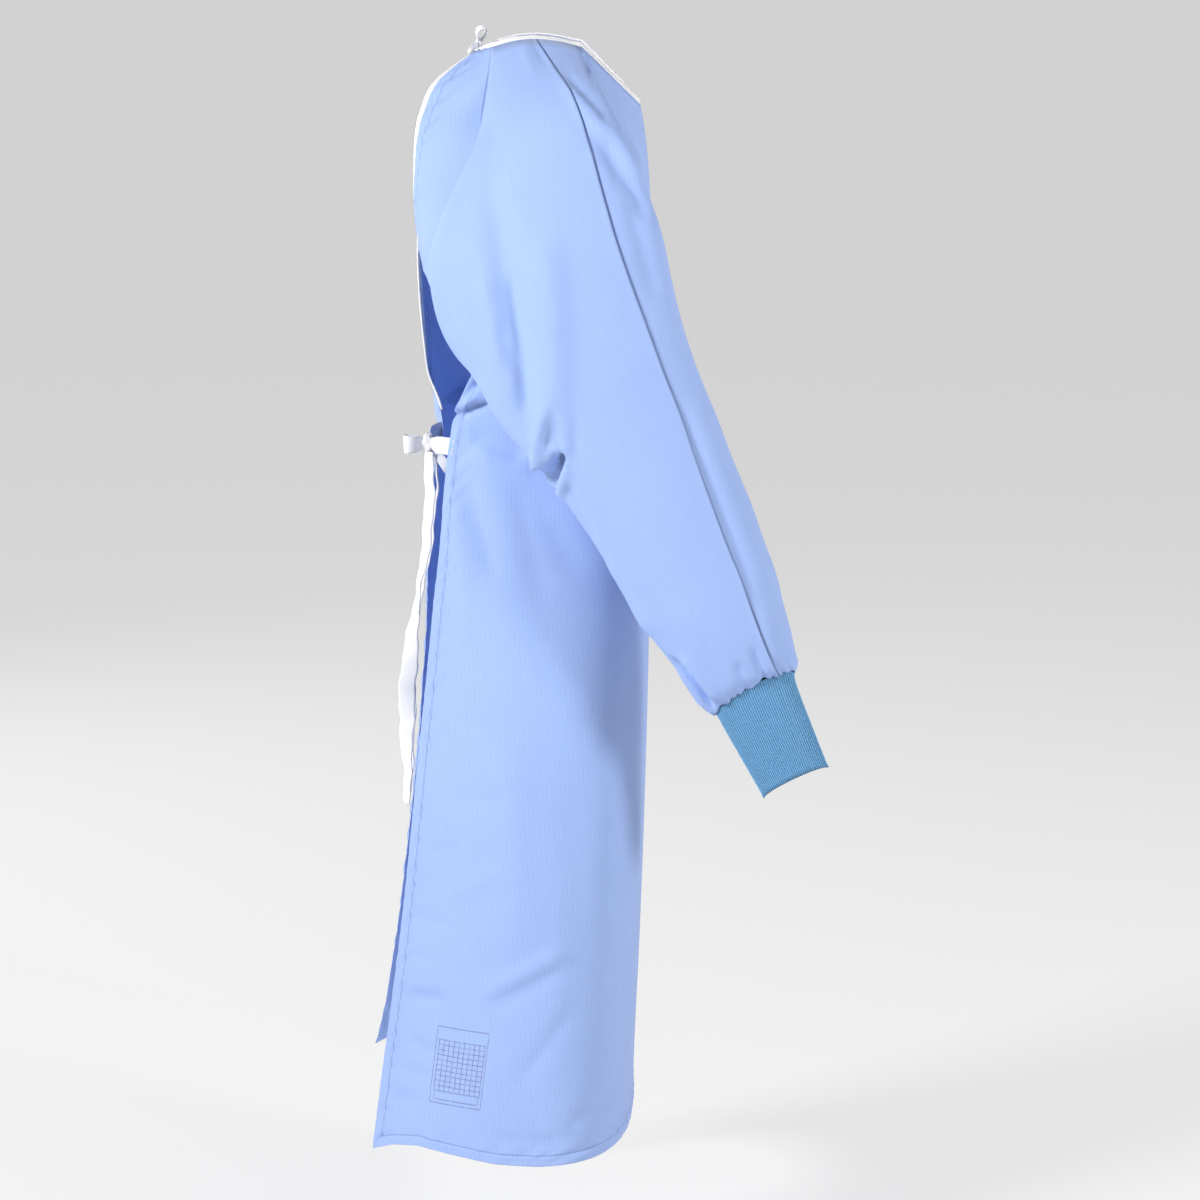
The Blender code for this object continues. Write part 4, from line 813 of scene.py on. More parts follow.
class Finish:
    """Node tree of one material, built line by line."""

    def __init__(self, name, roughness, sheen=0.0):
        self.material = bpy.data.materials.get(name) or bpy.data.materials.new(name)
        self.material.use_nodes = True
        self.tree = self.material.node_tree
        for made in list(self.tree.nodes):
            if made.type not in {"BSDF_PRINCIPLED", "OUTPUT_MATERIAL"}:
                self.tree.nodes.remove(made)
        self.shader = self.tree.nodes["Principled BSDF"]
        self.shader.inputs["Roughness"].default_value = roughness
        self.shader.inputs["Sheen Weight"].default_value = sheen
        self.shader.inputs["Sheen Roughness"].default_value = 0.4
        self.shader.inputs["Specular IOR Level"].default_value = 0.3

    def node(self, kind, **settings):
        """A node with its settings."""
        made = self.tree.nodes.new(kind)
        for key, value in settings.items():
            setattr(made, key, value)
        return made

    def link(self, source, target):
        """Joins two sockets, or writes a plain value into the second."""
        if isinstance(source, bpy.types.NodeSocket):
            self.tree.links.new(source, target)
        else:
            target.default_value = source

    def math(self, operation, first, second=0.0, third=0.0):
        """One Math node."""
        made = self.node("ShaderNodeMath", operation=operation)
        for socket, value in zip(made.inputs, (first, second, third)):
            self.link(value, socket)
        return made.outputs[0]

    def times(self, first, second):
        """Product of two values."""
        return self.math("MULTIPLY", first, second)

    def apart(self, first, second):
        """How far two values lie apart."""
        return self.math("ABSOLUTE", self.math("SUBTRACT", first, second))

    def share_of(self, value, pitch):
        """Rises from 0 to 0.5 and falls again over each pitch."""
        return self.math("PINGPONG", self.math("DIVIDE", value, pitch), 0.5)

    def dot(self, vector, direction):
        """Dot product of a vector with a fixed direction."""
        made = self.node("ShaderNodeVectorMath", operation="DOT_PRODUCT")
        self.link(vector, made.inputs[0])
        made.inputs[1].default_value = direction
        return made.outputs["Value"]

    def ramp(self, value, low, high, start=0.0, end=1.0):
        """Smooth step of a value from low to high."""
        made = self.node("ShaderNodeMapRange", interpolation_type="SMOOTHSTEP")
        for socket, given in zip(made.inputs, (value, low, high, start, end)):
            self.link(given, socket)
        return made.outputs["Result"]

    def line(self, value, pitch, half_width):
        """1 on lines pitch apart, fading over their half width."""
        return self.ramp(self.share_of(value, pitch), 0.0, half_width / pitch, 1.0, 0.0)

    def noise(self, vector, scale, detail=2.0):
        """Noise value on a vector."""
        made = self.node("ShaderNodeTexNoise")
        self.link(vector, made.inputs["Vector"])
        made.inputs["Scale"].default_value = scale
        made.inputs["Detail"].default_value = detail
        return made.outputs["Fac"]

    def mix(self, factor, first, second):
        """Mix of two colours."""
        made = self.node("ShaderNodeMix", data_type="RGBA")
        for place, value in (("Factor", factor), (6, first), (7, second)):
            self.link(value, made.inputs[place])
        return made.outputs[2]

    def scaled(self, vector, scale):
        """A vector multiplied by a fixed one."""
        made = self.node("ShaderNodeVectorMath", operation="MULTIPLY")
        self.link(vector, made.inputs[0])
        made.inputs[1].default_value = scale
        return made.outputs["Vector"]

    def bump(self, height, distance, strength=1.0):
        """Surface relief from a height."""
        made = self.node("ShaderNodeBump")
        self.link(height, made.inputs["Height"])
        made.inputs["Distance"].default_value = distance
        made.inputs["Strength"].default_value = strength
        self.link(made.outputs["Normal"], self.shader.inputs["Normal"])

    def cloth_map(self):
        """Metres across and along the cloth."""
        made = self.node("ShaderNodeUVMap", uv_map="cloth")
        parts = self.node("ShaderNodeSeparateXYZ")
        self.link(made.outputs["UV"], parts.inputs["Vector"])
        return made.outputs["UV"], parts.outputs["X"], parts.outputs["Y"]

    def threads(self, weave, direction):
        """Round threads that lie side by side along one direction of the cloth."""
        made = self.node("ShaderNodeTexWave", wave_type="BANDS", bands_direction=direction)
        self.link(self.scaled(weave, THREAD_SCALE), made.inputs["Vector"])
        return made.outputs["Fac"]

    def place(self):
        """Object coordinates."""
        return self.node("ShaderNodeTexCoord").outputs["Object"]

    def from_edge(self):
        """Distance from the cloth's edge or seam."""
        return self.node("ShaderNodeAttribute", attribute_name="from_edge").outputs["Fac"]


def rgba(colour, factor=1.0):
    """A property's colour, scaled, with full alpha."""
    return (colour[0] * factor, colour[1] * factor, colour[2] * factor, 1.0)


# Printed wash-count box on the right side near the hem: its first corner, its top and its side as seen from
# the right in Y and Z, and the shares of it that its blank heading, counting grid and bottom strip take.
BOX_CORNER = (0.1163, -1.1061)
BOX_TOP = (-0.0590, -0.0040)
BOX_SIDE = (0.0108, -0.0870)
BOX_GRID = (0.06, 0.95, 0.17, 0.84)
BOX_COLUMNS = 9
BOX_ROWS = 10
BOX_STRIP = (0.08, 0.93, 0.84, 0.95)
BOX_LINE = 0.012            # half width of a frame line, as a share of the box
BOX_COLUMN_LINE = 0.016     # half widths of the grid's lines
BOX_ROW_LINE = 0.011
BOX_ROW_REACH = 0.009       # how far the grid's upright lines go past its first and last level line
BOX_BLUR = 0.006            # half of the rise at the end of a line
BOX_INK = 0.85

# Cloth, knit and tape: scale of the weave, and pitches in metres.
GRAIN_SCALE = (1400.0, 45.0, 1.0)
THREAD_SCALE = (900.0, 900.0, 1.0)
THREAD_HEIGHT = 0.06        # height of the threads beside the wrinkles
STRIPE_HALF = 0.0007
FOLD_INSIDE, STITCH_LINE_INSIDE = 0.0008, 0.0026    # distance of the hem's painted fold shade line and of its stitch line from the hem's own width
STITCH_PITCH = 0.0015
TWILL_PITCH = 0.0012


def printed_box(finish):
    """Ink of the wash-count box: frame, counting grid and strip, on the right side only."""
    spot = finish.place()
    (ax, az), (bx, bz) = BOX_TOP, BOX_SIDE
    area = ax * bz - az * bx
    cy, cz = BOX_CORNER
    across = finish.math("ADD", finish.dot(spot, (0.0, bz / area, -bx / area)), -(cy * bz - cz * bx) / area)
    down = finish.math("ADD", finish.dot(spot, (0.0, -az / area, ax / area)), -(-cy * az + cz * ax) / area)

    def inside(value, low, high):
        """1 from low to high."""
        over = finish.ramp(value, low - BOX_BLUR, low + BOX_BLUR)
        return finish.times(over, finish.ramp(value, high - BOX_BLUR, high + BOX_BLUR, 1.0, 0.0))

    def with_frame(ink, left, right, top, bottom):
        """Ink with the four lines of a frame."""
        for value, at, low, high, other in ((across, left, top, bottom, down),
                                            (across, right, top, bottom, down),
                                            (down, top, left, right, across),
                                            (down, bottom, left, right, across)):
            line = finish.ramp(finish.apart(value, at), 0.0, BOX_LINE, 1.0, 0.0)
            ink = finish.math("MAXIMUM", ink, finish.times(line, inside(other, low, high)))
        return ink

    left, right, top, bottom = BOX_GRID
    column, row = (right - left) / BOX_COLUMNS, (bottom - top) / BOX_ROWS
    columns = finish.line(finish.math("SUBTRACT", across, left), column, BOX_COLUMN_LINE)
    rows = finish.line(finish.math("SUBTRACT", down, top), row, BOX_ROW_LINE)
    window = finish.times(inside(across, left - BOX_LINE, right + BOX_LINE),
                          inside(down, top - BOX_ROW_REACH, bottom + BOX_ROW_REACH))
    ink = finish.times(finish.math("MAXIMUM", columns, rows), window)
    ink = with_frame(with_frame(ink, 0.0, 1.0, 0.0, 1.0), *BOX_STRIP)
    right_side = finish.ramp(finish.dot(spot, (1.0, 0.0, 0.0)), -0.12, -0.10, 1.0, 0.0)
    worn = finish.ramp(finish.noise(spot, 220.0), 0.30, 0.55, 0.45, 1.0)
    return finish.times(finish.times(ink, right_side), worn)


def cloth_finish(name, striped, hemmed):
    """Light blue woven cloth: grain, fine stripes along the cloth, weave relief and hem stitches, with
    painted shade along the hem's fold and a painted shadow line along the sleeves' seams.
    """
    sizes, colours = bpy.context.scene.gown_sizes, bpy.context.scene.gown_colours
    finish = Finish(name, 0.72, 0.12)
    weave, across, along = finish.cloth_map()
    grain = finish.noise(finish.scaled(weave, GRAIN_SCALE), 1.0)
    colour = finish.mix(finish.ramp(grain, 0.3, 0.7), rgba(colours.cloth, 0.965), rgba(colours.cloth, 1.03))
    mottled = finish.noise(finish.place(), 9.0, 3.0)
    colour = finish.mix(finish.ramp(mottled, 0.35, 0.7, 0.0, 0.35), colour, rgba(colours.cloth_shade))
    if striped:
        stripe = finish.line(across, sizes.stripe_pitch, STRIPE_HALF)
        colour = finish.mix(finish.times(stripe, 0.24), colour, rgba(colours.stripe))
    edge = finish.from_edge()
    if hemmed:
        # Painted shade: a darker line just inside the hem's raised border, where its step lies in shade.
        fold_shade = finish.ramp(finish.apart(edge, sizes.hem_width - FOLD_INSIDE), 0.0005, 0.0014, 1.0, 0.0)
        colour = finish.mix(finish.times(fold_shade, 0.55), colour, rgba(colours.stripe, 0.8))
        off_line = finish.apart(edge, sizes.hem_width - STITCH_LINE_INSIDE)
        dash = finish.math("PINGPONG", finish.math("ADD", along, across), STITCH_PITCH)
        stitch = finish.ramp(off_line, 0.0002, 0.0006, 1.0, 0.0)
        stitch = finish.times(stitch, finish.ramp(dash, 0.0004, 0.0007))
        colour = finish.mix(finish.times(stitch, 0.5), colour, rgba(colours.cloth, 1.25))
        colour = finish.mix(finish.times(printed_box(finish), BOX_INK), colour, rgba(colours.ink))
    else:
        # Painted shadow: a darker line along the sleeve's overarm seam and along its join to the cuff.
        seam = finish.ramp(edge, 0.0004, 0.0011, 1.0, 0.0)
        colour = finish.mix(finish.times(seam, 0.7), colour, rgba(colours.stripe, 0.5))
    finish.link(colour, finish.shader.inputs["Base Color"])
    wrinkle = finish.noise(finish.place(), 55.0, 4.0)
    cross = finish.math("ADD", finish.threads(weave, "Y"), finish.threads(weave, "X"))
    finish.bump(finish.math("ADD", wrinkle, finish.times(cross, THREAD_HEIGHT)), 0.0012, 0.3)
    return finish.material


def knit_finish():
    """Mid blue rib knit: painted shade between the ribs, with a small stitch along each rib."""
    sizes, colours = bpy.context.scene.gown_sizes, bpy.context.scene.gown_colours
    finish = Finish("rib_knit", 0.85, 0.35)
    weave, across, along = finish.cloth_map()
    groove = finish.math("PINGPONG", across, 0.5)
    # Painted shade and light: the grooves between the ribs are darkened to half the cuff colour and the rib
    # tops lightened.
    colour = finish.mix(finish.ramp(groove, 0.05, 0.4), rgba(colours.cuff, 0.50), rgba(colours.cuff, 1.15))
    fuzz = finish.noise(finish.place(), 900.0)
    colour = finish.mix(finish.ramp(fuzz, 0.4, 0.8, 0.0, 0.3), colour, rgba(colours.cuff, 1.35))
    finish.link(colour, finish.shader.inputs["Base Color"])
    finish.bump(finish.share_of(along, sizes.rib_pitch * 0.55), 0.0003, 0.4)
    return finish.material


def tape_finish():
    """White twill tape with slanted ribs and painted shade in their hollows."""
    colours = bpy.context.scene.gown_colours
    finish = Finish("white_tape", 0.8, 0.2)
    weave, across, along = finish.cloth_map()
    twill = finish.share_of(finish.math("ADD", across, along), TWILL_PITCH)
    # Painted shade: the hollows between the twill ribs are greyer.
    colour = finish.mix(finish.ramp(twill, 0.05, 0.3), rgba(colours.tape, 0.86), rgba(colours.tape))
    # Random greyer patches of the tape.
    grey_patches = finish.noise(finish.place(), 60.0, 3.0)
    colour = finish.mix(finish.ramp(grey_patches, 0.45, 0.75, 0.0, 0.35), colour, rgba(colours.tape_shade))
    finish.link(colour, finish.shader.inputs["Base Color"])
    finish.bump(twill, 0.0003, 0.6)
    return finish.material


def tape_surface(middle, across, widths):
    """Flat band: middle + across times half its width times s, s from -1 to 1, cupped a little."""
    across = unit(across)
    s = np.linspace(-1.0, 1.0, TAPE_FACETS + 1)
    normal = unit(np.cross(np.gradient(middle, axis=0), across))
    half = widths[:, None, None] / 2
    rows = (middle[:, None] + across[:, None] * half * s[None, :, None]
            + normal[:, None] * half * 0.07 * (s ** 2)[None, :, None])
    run = run_length(middle)[:, None]
    return patch(rows, s[None, :] * widths[:, None] / 2, run, 1.0)


def tail_surface(stations):
    """A hanging tape through its stations, with small ripples along it."""
    values = np.array(stations)
    length = run_length(values[:, :3])
    at = np.linspace(0.0, length[-1], max(int(length[-1] / TAIL_STEP), TAIL_POINTS_LEAST))
    fine = smooth(length, values, at)
    middle, across, width = fine[:, :3], fine[:, 3:6], fine[:, 6]
    ripple = 0.0009 * np.sin(at * 95) * soft_step(0.0, 0.05, at) + 0.0006 * np.sin(at * 210 + 1)
    middle = middle + ripple[:, None] * RIPPLE_DIRECTION
    return tape_surface(middle, across, width)


def loop_surface(knot, row):
    """One bow loop: out along its direction and back, opened to both sides between its two ends."""
    values = dict(zip(LOOP_COLUMN_NAMES, row))
    centre, size = np.array(knot)
    along = unit(np.array([values["along_x"], values["along_y"], values["along_z"]]))
    up = (0.0, 1.0, 0.0) if along[2] < -LOOP_UPRIGHT else (0.0, 0.0, 1.0)
    across = unit(np.cross(up, along))
    width = np.cross(along, across)
    reach = 0.8 / np.linalg.norm(along / size)
    share = np.linspace(0.0, 1.0, LOOP_POINTS)
    out = reach + (values["length"] + 0.003) * np.sin(math.pi * share)
    aside = TAPE * 1.4 * np.cos(math.pi * share) + values["opening"] / 2 * np.sin(2 * math.pi * share)
    middle = centre + out[:, None] * along + aside[:, None] * across
    widths = values["width"] * (0.55 + 0.45 * np.sin(math.pi * share) ** 0.5)
    return tape_surface(middle, np.tile(width, (len(share), 1)), widths)


def strap_surface(start, knot):
    """A tie tape from its seam on a back edge into its knot, narrowing as it is drawn in."""
    centre, size = np.array(knot)
    away = unit(start[1] - centre)
    end = centre + away * 0.75 / np.linalg.norm(away / size)
    share = np.linspace(0.0, 1.0, STRAP_POINTS)[:, None]
    middle = start[1] + (end - start[1]) * share + np.sin(math.pi * share) * STRAP_BOW
    across = unit(start[2] - start[0]) * (1 - share) + np.array([0.0, 0.0, 1.0]) * share
    width = np.linalg.norm(start[2] - start[0])
    widths = width + (size[2] * 1.1 - width) * soft_step(0.35, 1.0, share[:, 0])
    return tape_surface(middle, across, widths)


def knot_surface(knot):
    """Wrapped knot: a ball stretched to its size; its radius waves by 0.1 cos(3 turn + 4 tilt) sin(tilt)."""
    tilt = np.linspace(0.0, math.pi, 25)[1:-1, None]
    turn = np.linspace(0.0, 2 * math.pi, 41)[None, :-1]
    radius = 1 + 0.10 * np.cos(3 * turn + 4 * tilt) * np.sin(tilt) + 0.05 * np.cos(9 * turn - 5 * tilt)
    ball = np.stack((np.sin(tilt) * np.cos(turn) * radius, np.sin(tilt) * np.sin(turn) * radius,
                     np.cos(tilt) * np.ones_like(turn) * radius), axis=-1)
    rows, columns = ball.shape[:2]
    points = np.vstack((ball.reshape(-1, 3), [[0, 0, 1.0]], [[0, 0, -1.0]])) * knot[1] + knot[0]
    number = np.arange(rows * columns).reshape(rows, columns)
    after = np.roll(number, -1, axis=1)
    sides = np.column_stack((number[:-1].ravel(), number[1:].ravel(), after[1:].ravel(), after[:-1].ravel()))
    top = np.column_stack((number[0], after[0], np.full(columns, rows * columns)))
    bottom = np.column_stack((after[-1], number[-1], np.full(columns, rows * columns + 1)))
    return points, sides.tolist() + top[:, ::-1].tolist() + bottom[:, ::-1].tolist()


def binding_surface(edge, before):
    """Folded tape beyond a cloth edge: carried on by its width, rounded and gently puckered along it."""
    direction = unit(edge - before)
    for _ in range(6):
        direction[1:-1] = (direction[:-2] + direction[1:-1] + direction[2:]) / 3
        direction = unit(direction)
    share = np.linspace(0.0, 1.0, BINDING_FACETS + 1)[:, None, None]
    run = run_length(edge)
    wave = unit(np.cross(np.gradient(edge, axis=0), direction)) * waves(run, BINDING_WAVES)[:, None]
    rows = edge[None] + direction[None] * BINDING_WIDTH * share + wave[None] * np.sin(math.pi * share)
    return rows, np.broadcast_to(run[None, :], rows.shape[:2]), share[..., 0] * BINDING_WIDTH


class GownSizes(bpy.types.PropertyGroup):
    """Sizes of the gown's finish."""

    hem_width: FloatProperty(name="Hem width", description="Width of the turned and stitched hems",
                             default=0.0125, min=0.0, unit="LENGTH")
    stripe_pitch: FloatProperty(name="Stripe pitch", description="Distance between the fine woven stripes",
                                default=0.0055, min=0.001, unit="LENGTH")
    rib_pitch: FloatProperty(name="Rib pitch", description="Distance between the ribs of the knitted cuffs",
                             default=0.0026, min=0.0005, unit="LENGTH")
    rib_depth: FloatProperty(name="Rib depth", description="Depth of the grooves between the ribs",
                             default=0.0008, min=0.0, unit="LENGTH")
    pucker: FloatProperty(name="Pucker", description="Height of the small waves along the hemmed edges",
                          default=0.0012, min=0.0, unit="LENGTH")
    gather: FloatProperty(name="Gathers", description="Height of the gathers that run into the cuffs",
                          default=0.0008, min=0.0, unit="LENGTH")
    cloth_wall: FloatProperty(name="Cloth", description="Thickness of the woven cloth", default=0.0006,
                              min=0.0001, unit="LENGTH")


COLOUR = {"subtype": "COLOR", "size": 3, "min": 0, "max": 1}


class GownColours(bpy.types.PropertyGroup):
    """Colours of the gown's cloth, knit, tape and print."""

    cloth: FloatVectorProperty(name="Cloth", description="Woven cloth", default=(0.35, 0.48, 0.84), **COLOUR)
    cloth_shade: FloatVectorProperty(name="Cloth mottle", description="Slightly deeper patches of the cloth",
                                     default=(0.325, 0.45, 0.81), **COLOUR)
    # The stripe colour, darkened, also paints the shade along the hem's fold and the shadow line along the
    # sleeve seams.
    stripe: FloatVectorProperty(name="Stripe", description="Fine woven stripes", default=(0.24, 0.34, 0.68),
                                **COLOUR)
    cuff: FloatVectorProperty(name="Cuff", description="Rib knit of the cuffs", default=(0.14, 0.345, 0.60),
                              **COLOUR)
    tape: FloatVectorProperty(name="Tape", description="White binding and tie tape",
                              default=(0.88, 0.88, 0.90), **COLOUR)
    tape_shade: FloatVectorProperty(name="Tape shade", description="Greyer patches of the tape",
                                    default=(0.66, 0.68, 0.76), **COLOUR)
    ink: FloatVectorProperty(name="Ink", description="Printed wash-count box", default=(0.16, 0.16, 0.34),
                             **COLOUR)
    floor: FloatVectorProperty(name="Floor", description="Studio floor", default=(0.30, 0.30, 0.30), **COLOUR)


class GOWN_OT_body(bpy.types.Operator):
    """Apron front with both backs, in one cloth, with its hems and printed box"""

    bl_idname = "gown.body"
    bl_label = "Body Panel"

    def execute(self, context):
        points, faces, values, _ = surfaces()[0]["body_panel"]
        piece = add_mesh("gown_body", points, faces, values, cloth_finish("gown_cloth_body", True, True))
        thicken(piece, context.scene.gown_sizes.cloth_wall)
        seat(piece, "body_panel")
        return {"FINISHED"}


class GOWN_OT_sleeves(bpy.types.Operator):
    """Front and rear halves of both raglan sleeves"""

    bl_idname = "gown.sleeves"
    bl_label = "Sleeves"

    def execute(self, context):
        for name, (points, faces, values, _) in surfaces()[0].items():
            if not name.startswith("sleeve"):
                continue
            front = name.endswith("front")
            material = cloth_finish("gown_cloth_front" if front else "gown_cloth_rear", front, False)
            piece = add_mesh("gown_" + name, points, faces, values, material)
            thicken(piece, context.scene.gown_sizes.cloth_wall)
            seat(piece, name)
        return {"FINISHED"}


class GOWN_OT_cuffs(bpy.types.Operator):
    """Rib knitted cuffs: rings whose radius waves once for every rib"""

    bl_idname = "gown.cuffs"
    bl_label = "Cuffs"

    def execute(self, context):
        sizes = context.scene.gown_sizes
        sleeve, turns = surfaces()[1][4:6]
        knots = np.linspace(0.0, 1.0, len(CUFF))
        rings = smooth(knots, CUFF, np.linspace(0.0, 1.0, CUFF_ROWS + 1))
        coarse = np.array([ring(row, turns) for row in rings])
        coarse[0] = sleeve[-1]
        around = run_length(coarse[CUFF_ROWS // 2])
        ribs = round(around[-1] / sizes.rib_pitch)
        at = np.linspace(0.0, around[-1], ribs * RIB_FACETS + 1)
        rows = np.array([between_points(at, around, line) for line in coarse])
        low = np.linspace(0.0, 1.0, CUFF_ROWS + 1)[:, None, None] ** 3
        dip = np.abs(np.sin(np.interp(at, around, np.unwrap(turns))))[None, :, None]
        rows = rows + low * dip * unit(rows[0].mean(axis=0) - rows[-1].mean(axis=0)) * CUFF_DIP
        for hand in ("right", "left"):
            limb = rows if hand == "right" else mirrored(rows)
            if hand == "left":
                along = run_length(np.vstack((mirrored(sleeve), limb[1:, :sleeve.shape[1]])).mean(axis=1))
                limb = limb + left_swing(along[len(sleeve) - 1:])[:, None, None] * np.array([0.0, 1.0, 0.0])
            down = run_length(limb.mean(axis=1))[:, None]
            share = np.linspace(0.0, ribs, limb.shape[1])[None, :]
            points, faces, values = joined([patch(limb, share, down, 1.0, flip=hand == "right")])
            normal = shared_normals({"cuff": (points, faces)})["cuff"][0]
            wave = -sizes.rib_depth * np.cos(2 * math.pi * values[:, 0])
            roll = CUFF_ROLL * bell(values[:, 1].max() - values[:, 1], CUFF_ROLL_HALF)
            points = points + normal * (wave * 0.5 + roll)[:, None]
            piece = add_mesh("gown_cuff_" + hand, points, faces, values, knit_finish())
            thicken(piece, KNIT_WALL)
            seat(piece, "cuff_" + hand)
        return {"FINISHED"}


class GOWN_OT_bindings(bpy.types.Operator):
    """White folded tape along both back edges and round the neck"""

    bl_idname = "gown.bindings"
    bl_label = "Bindings"

    def execute(self, context):
        skirt, chest, right_back, left_back, sleeve, _ = surfaces()[1]
        material = tape_finish()
        ends = []
        for hand, tab, side in (("right", right_back, 0), ("left", left_back, -1)):
            beside = BESIDE if side == 0 else -1 - BESIDE
            below = skirt[-2::-1]
            below = below[below[:, side, 2] > BINDING_ENDS[side]]
            edge = np.vstack((tab[::-1, 0], below[:, side]))
            before = np.vstack((tab[::-1, BESIDE], below[:, beside]))
            rows, run, over = binding_surface(edge, before)
            ends.append(rows[:, 0])
            self.add("back_binding_" + hand, rows, over, run, hand == "right", material)
        step = [back[-1 - BESIDE, 0] - back[-1, 0] for back in (right_back, left_back)]
        lines = []
        for row, shift in ((0, 0.0), (BESIDE, 1.0)):
            at = -1 - row
            top_rear, top_front = sleeve[row, -NECK_COLUMNS:], sleeve[row, 1:NECK_COLUMNS]
            lines.append(np.vstack((ends[0][:0:-1] + step[0] * shift, right_back[at], top_rear, top_front,
                                    chest[at], mirrored(top_front[::-1]), mirrored(top_rear[::-1]),
                                    left_back[at, ::-1], ends[1][1:] + step[1] * shift)))
        rows, run, over = binding_surface(lines[0], lines[1])
        self.add("neck_binding", rows, over, run, False, material)
        return {"FINISHED"}

    def add(self, name, rows, over, run, flip, material):
        """One strip with its wall."""
        points, faces, values = patch(rows, over, run, 1.0, flip=flip)
        piece = add_mesh("gown_" + name, points, faces, values, material)
        thicken(piece, BINDING * 0.9, -0.6)
        seat(piece, name)


class GOWN_OT_waist_tie(bpy.types.Operator):
    """Waist tie: straps from both back edges, knot, two loops and two hanging ends"""

    bl_idname = "gown.waist_tie"
    bl_label = "Waist Tie"

    def execute(self, context):
        skirt = surfaces()[1][0]
        material = tape_finish()
        for hand, side, beside, turn in (("right", 0, BESIDE, 1), ("left", -1, -1 - BESIDE, -1)):
            order = np.argsort(skirt[:, side, 2])
            at = WAIST_TIE_HEIGHT + TIE_WIDTH * np.array([-0.5, 0.0, 0.5])
            edge, inner = (between_points(at, skirt[order, side, 2], skirt[order, column])
                           for column in (side, beside))
            outward = unit(np.cross((0.0, 0.0, turn), edge - inner))
            start = edge + outward * (TAPE / 2 + SEAM_GAP) + (inner - edge) * 1.5
            add_tape("waist_strap_" + hand, strap_surface(start, WAIST_KNOT), material)
        for name, row in WAIST_LOOPS.items():
            add_tape(name, loop_surface(WAIST_KNOT, row), material)
        add_tape("waist_tail_outer", tail_surface(WAIST_TAIL_OUTER), material)
        add_tape("waist_tail_inner", tail_surface(WAIST_TAIL_INNER), material)
        add_knot("waist_knot", WAIST_KNOT, material)
        return {"FINISHED"}


class GOWN_OT_neck_tie(bpy.types.Operator):
    """Neck tie: short straps from the neck binding, knot, two small loops and two short ends"""

    bl_idname = "gown.neck_tie"
    bl_label = "Neck Tie"

    def execute(self, context):
        material = tape_finish()
        for hand, side in (("right", -1), ("left", 1)):
            start = np.array(NECK_STRAP_END) + np.outer((-1, 0, 1), NECK_STRAP_LEAN)
            start = start * (side, 1, 1)
            add_tape("neck_strap_" + hand, strap_surface(start, NECK_KNOT), material)
        for name, row in NECK_LOOPS.items():
            add_tape(name, loop_surface(NECK_KNOT, row), material)
        add_tape("neck_tail_right", tail_surface(NECK_TAIL_RIGHT), material)
        add_tape("neck_tail_left", tail_surface(NECK_TAIL_LEFT), material)
        add_knot("neck_knot", NECK_KNOT, material)
        return {"FINISHED"}


def add_tape(name, surface, material):
    """One tie tape in the place of its solid."""
    points, faces, values = surface
    piece = add_mesh("gown_" + name, points, faces, values, material)
    thicken(piece, TAPE * 0.8, 0.0)
    seat(piece, name)


def add_knot(name, knot, material):
    """One knot in the place of its solid."""
    seat(add_mesh("gown_" + name, *knot_surface(knot), None, material), name)


FLOOR_REACH, FLOOR_HEIGHT = 300.0, -1.46
FLOOR_GLOW = 0.61
SKY_COLOUR = (0.97, 0.98, 1.0, 1.0)
SKY_RISE = (0.0, 0.09, 0.75, 0.09)      # two heights in the sky, and the strength of its light at each
LAMPS = (               # name, place, aim, size and power
    ("key", (-2.4, 3.1, 1.5), (0.0, 0.0, -0.3), 1.0, 190.0),
    ("fill", (-3.0, -1.0, 3.0), (0.0, 0.0, -0.5), 1.4, 8.0),
    ("rear", (2.8, 2.0, 0.8), (0.0, 0.0, -0.5), 2.0, 45.0),
    ("front", (-2.2, -3.0, 1.1), (0.0, 0.0, -0.1), 0.7, 72.0),
    ("chest", (1.0, -3.6, 0.7), (0.0, 0.0, -0.2), 1.4, 31.0),
)
EYE = (-4.2, -0.069, 0.093)
EYE_TURN = (80.0, 0.0, -90.0)
LENS, SENSOR = 108.36, 36.0
SIGHT = 1000.0


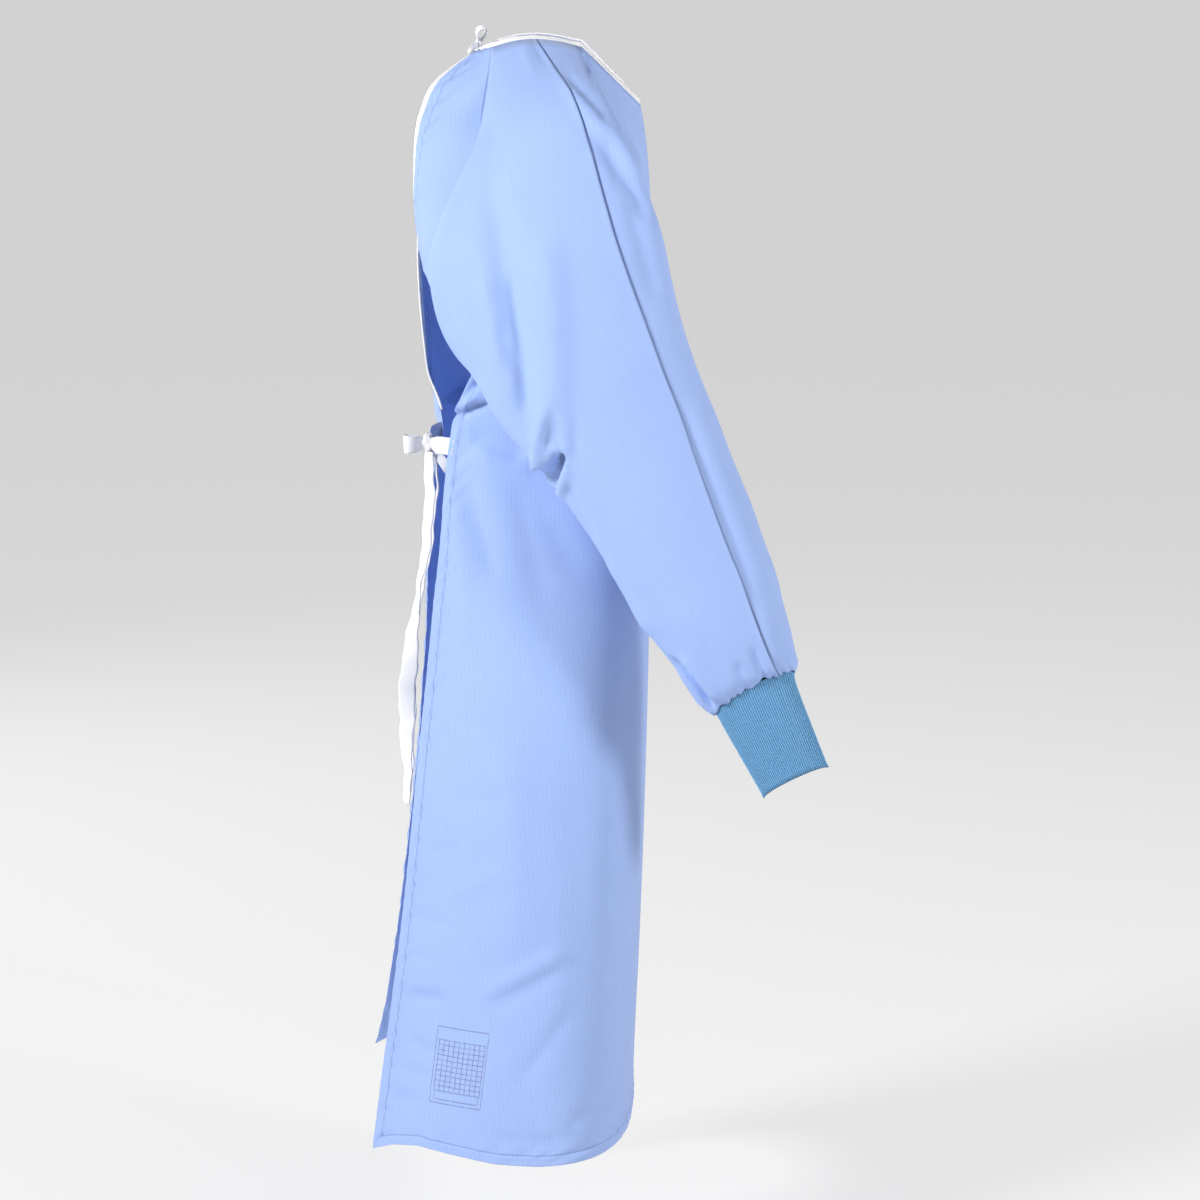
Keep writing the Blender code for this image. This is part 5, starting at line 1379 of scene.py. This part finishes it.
class GOWN_OT_stage(bpy.types.Operator):
    """Pale floor, soft studio light and the camera"""

    bl_idname = "gown.stage"
    bl_label = "Stage"

    def execute(self, context):
        scene = context.scene
        corners = [(x * FLOOR_REACH, y * FLOOR_REACH, FLOOR_HEIGHT)
                   for x, y in ((-1, -1), (1, -1), (1, 1), (-1, 1))]
        finish = Finish("floor", 0.9)
        finish.shader.inputs["Base Color"].default_value = rgba(scene.gown_colours.floor)
        finish.shader.inputs["Emission Color"].default_value = (1.0, 1.0, 1.0, 1.0)
        finish.shader.inputs["Emission Strength"].default_value = FLOOR_GLOW
        floor = bpy.data.meshes.new("floor")
        floor.from_pydata(corners, [], [(0, 1, 2, 3)])
        floor.materials.append(finish.material)
        ground = bpy.data.objects.new("floor", floor)
        scene.collection.objects.link(ground)
        self.light_sky(scene)
        for name, place, aim, size, power in LAMPS:
            light = bpy.data.lights.new(name, "AREA")
            light.size = size
            light.energy = power
            lamp = bpy.data.objects.new(name, light)
            lamp.location = place
            away = np.array(place) - np.array(aim)
            tilt = math.atan2(math.hypot(away[0], away[1]), away[2])
            lamp.rotation_euler = (tilt, 0.0, math.atan2(away[0], -away[1]))
            scene.collection.objects.link(lamp)
        camera = bpy.data.cameras.new("camera")
        camera.sensor_width = SENSOR
        camera.lens = LENS
        camera.clip_end = SIGHT
        eye = bpy.data.objects.new("camera", camera)
        eye.location = EYE
        eye.rotation_euler = [math.radians(turn) for turn in EYE_TURN]
        scene.collection.objects.link(eye)
        scene.camera = eye
        scene.view_settings.view_transform = "Standard"
        return {"FINISHED"}

    def light_sky(self, scene):
        """Sky whose light falls off smoothly above the horizon."""
        world = bpy.data.worlds.new("studio")
        world.use_nodes = True
        tree = world.node_tree
        background = tree.nodes["Background"]
        background.inputs["Color"].default_value = SKY_COLOUR
        parts = tree.nodes.new("ShaderNodeSeparateXYZ")
        tree.links.new(tree.nodes.new("ShaderNodeTexCoord").outputs["Generated"], parts.inputs["Vector"])
        rise = tree.nodes.new("ShaderNodeMapRange")
        tree.links.new(parts.outputs["Z"], rise.inputs["Value"])
        for socket, value in zip(rise.inputs[1:5], SKY_RISE):
            socket.default_value = value
        tree.links.new(rise.outputs["Result"], background.inputs["Strength"])
        scene.world = world


class GOWN_PT_panel(bpy.types.Panel):
    """Lists the gown's pieces in the sidebar"""

    bl_idname = "GOWN_PT_panel"
    bl_label = "Apron Gown"
    bl_space_type = "VIEW_3D"
    bl_region_type = "UI"
    bl_category = "Gown"

    def draw(self, context):
        for group in (context.scene.gown_sizes, context.scene.gown_colours):
            for name in group.__annotations__:
                self.layout.prop(group, name)
        for operator in OPERATORS:
            self.layout.operator(operator.bl_idname)


OPERATORS = (GOWN_OT_body, GOWN_OT_sleeves, GOWN_OT_cuffs, GOWN_OT_bindings, GOWN_OT_waist_tie,
             GOWN_OT_neck_tie, GOWN_OT_stage)
CLASSES = (GownSizes, GownColours) + OPERATORS + (GOWN_PT_panel,)


def register():
    """Adds the classes and the scene's two groups of settings."""
    for item in CLASSES:
        bpy.utils.register_class(item)
    bpy.types.Scene.gown_sizes = PointerProperty(type=GownSizes)
    bpy.types.Scene.gown_colours = PointerProperty(type=GownColours)


def unregister():
    """Takes them away again."""
    del bpy.types.Scene.gown_sizes
    del bpy.types.Scene.gown_colours
    for item in reversed(CLASSES):
        bpy.utils.unregister_class(item)


def main():
    """Builds the whole scene."""
    register()
    bpy.ops.gown.stage()
    bpy.ops.gown.body()
    bpy.ops.gown.sleeves()
    bpy.ops.gown.cuffs()
    bpy.ops.gown.bindings()
    bpy.ops.gown.waist_tie()
    bpy.ops.gown.neck_tie()


if __name__ == "__main__":
    main()
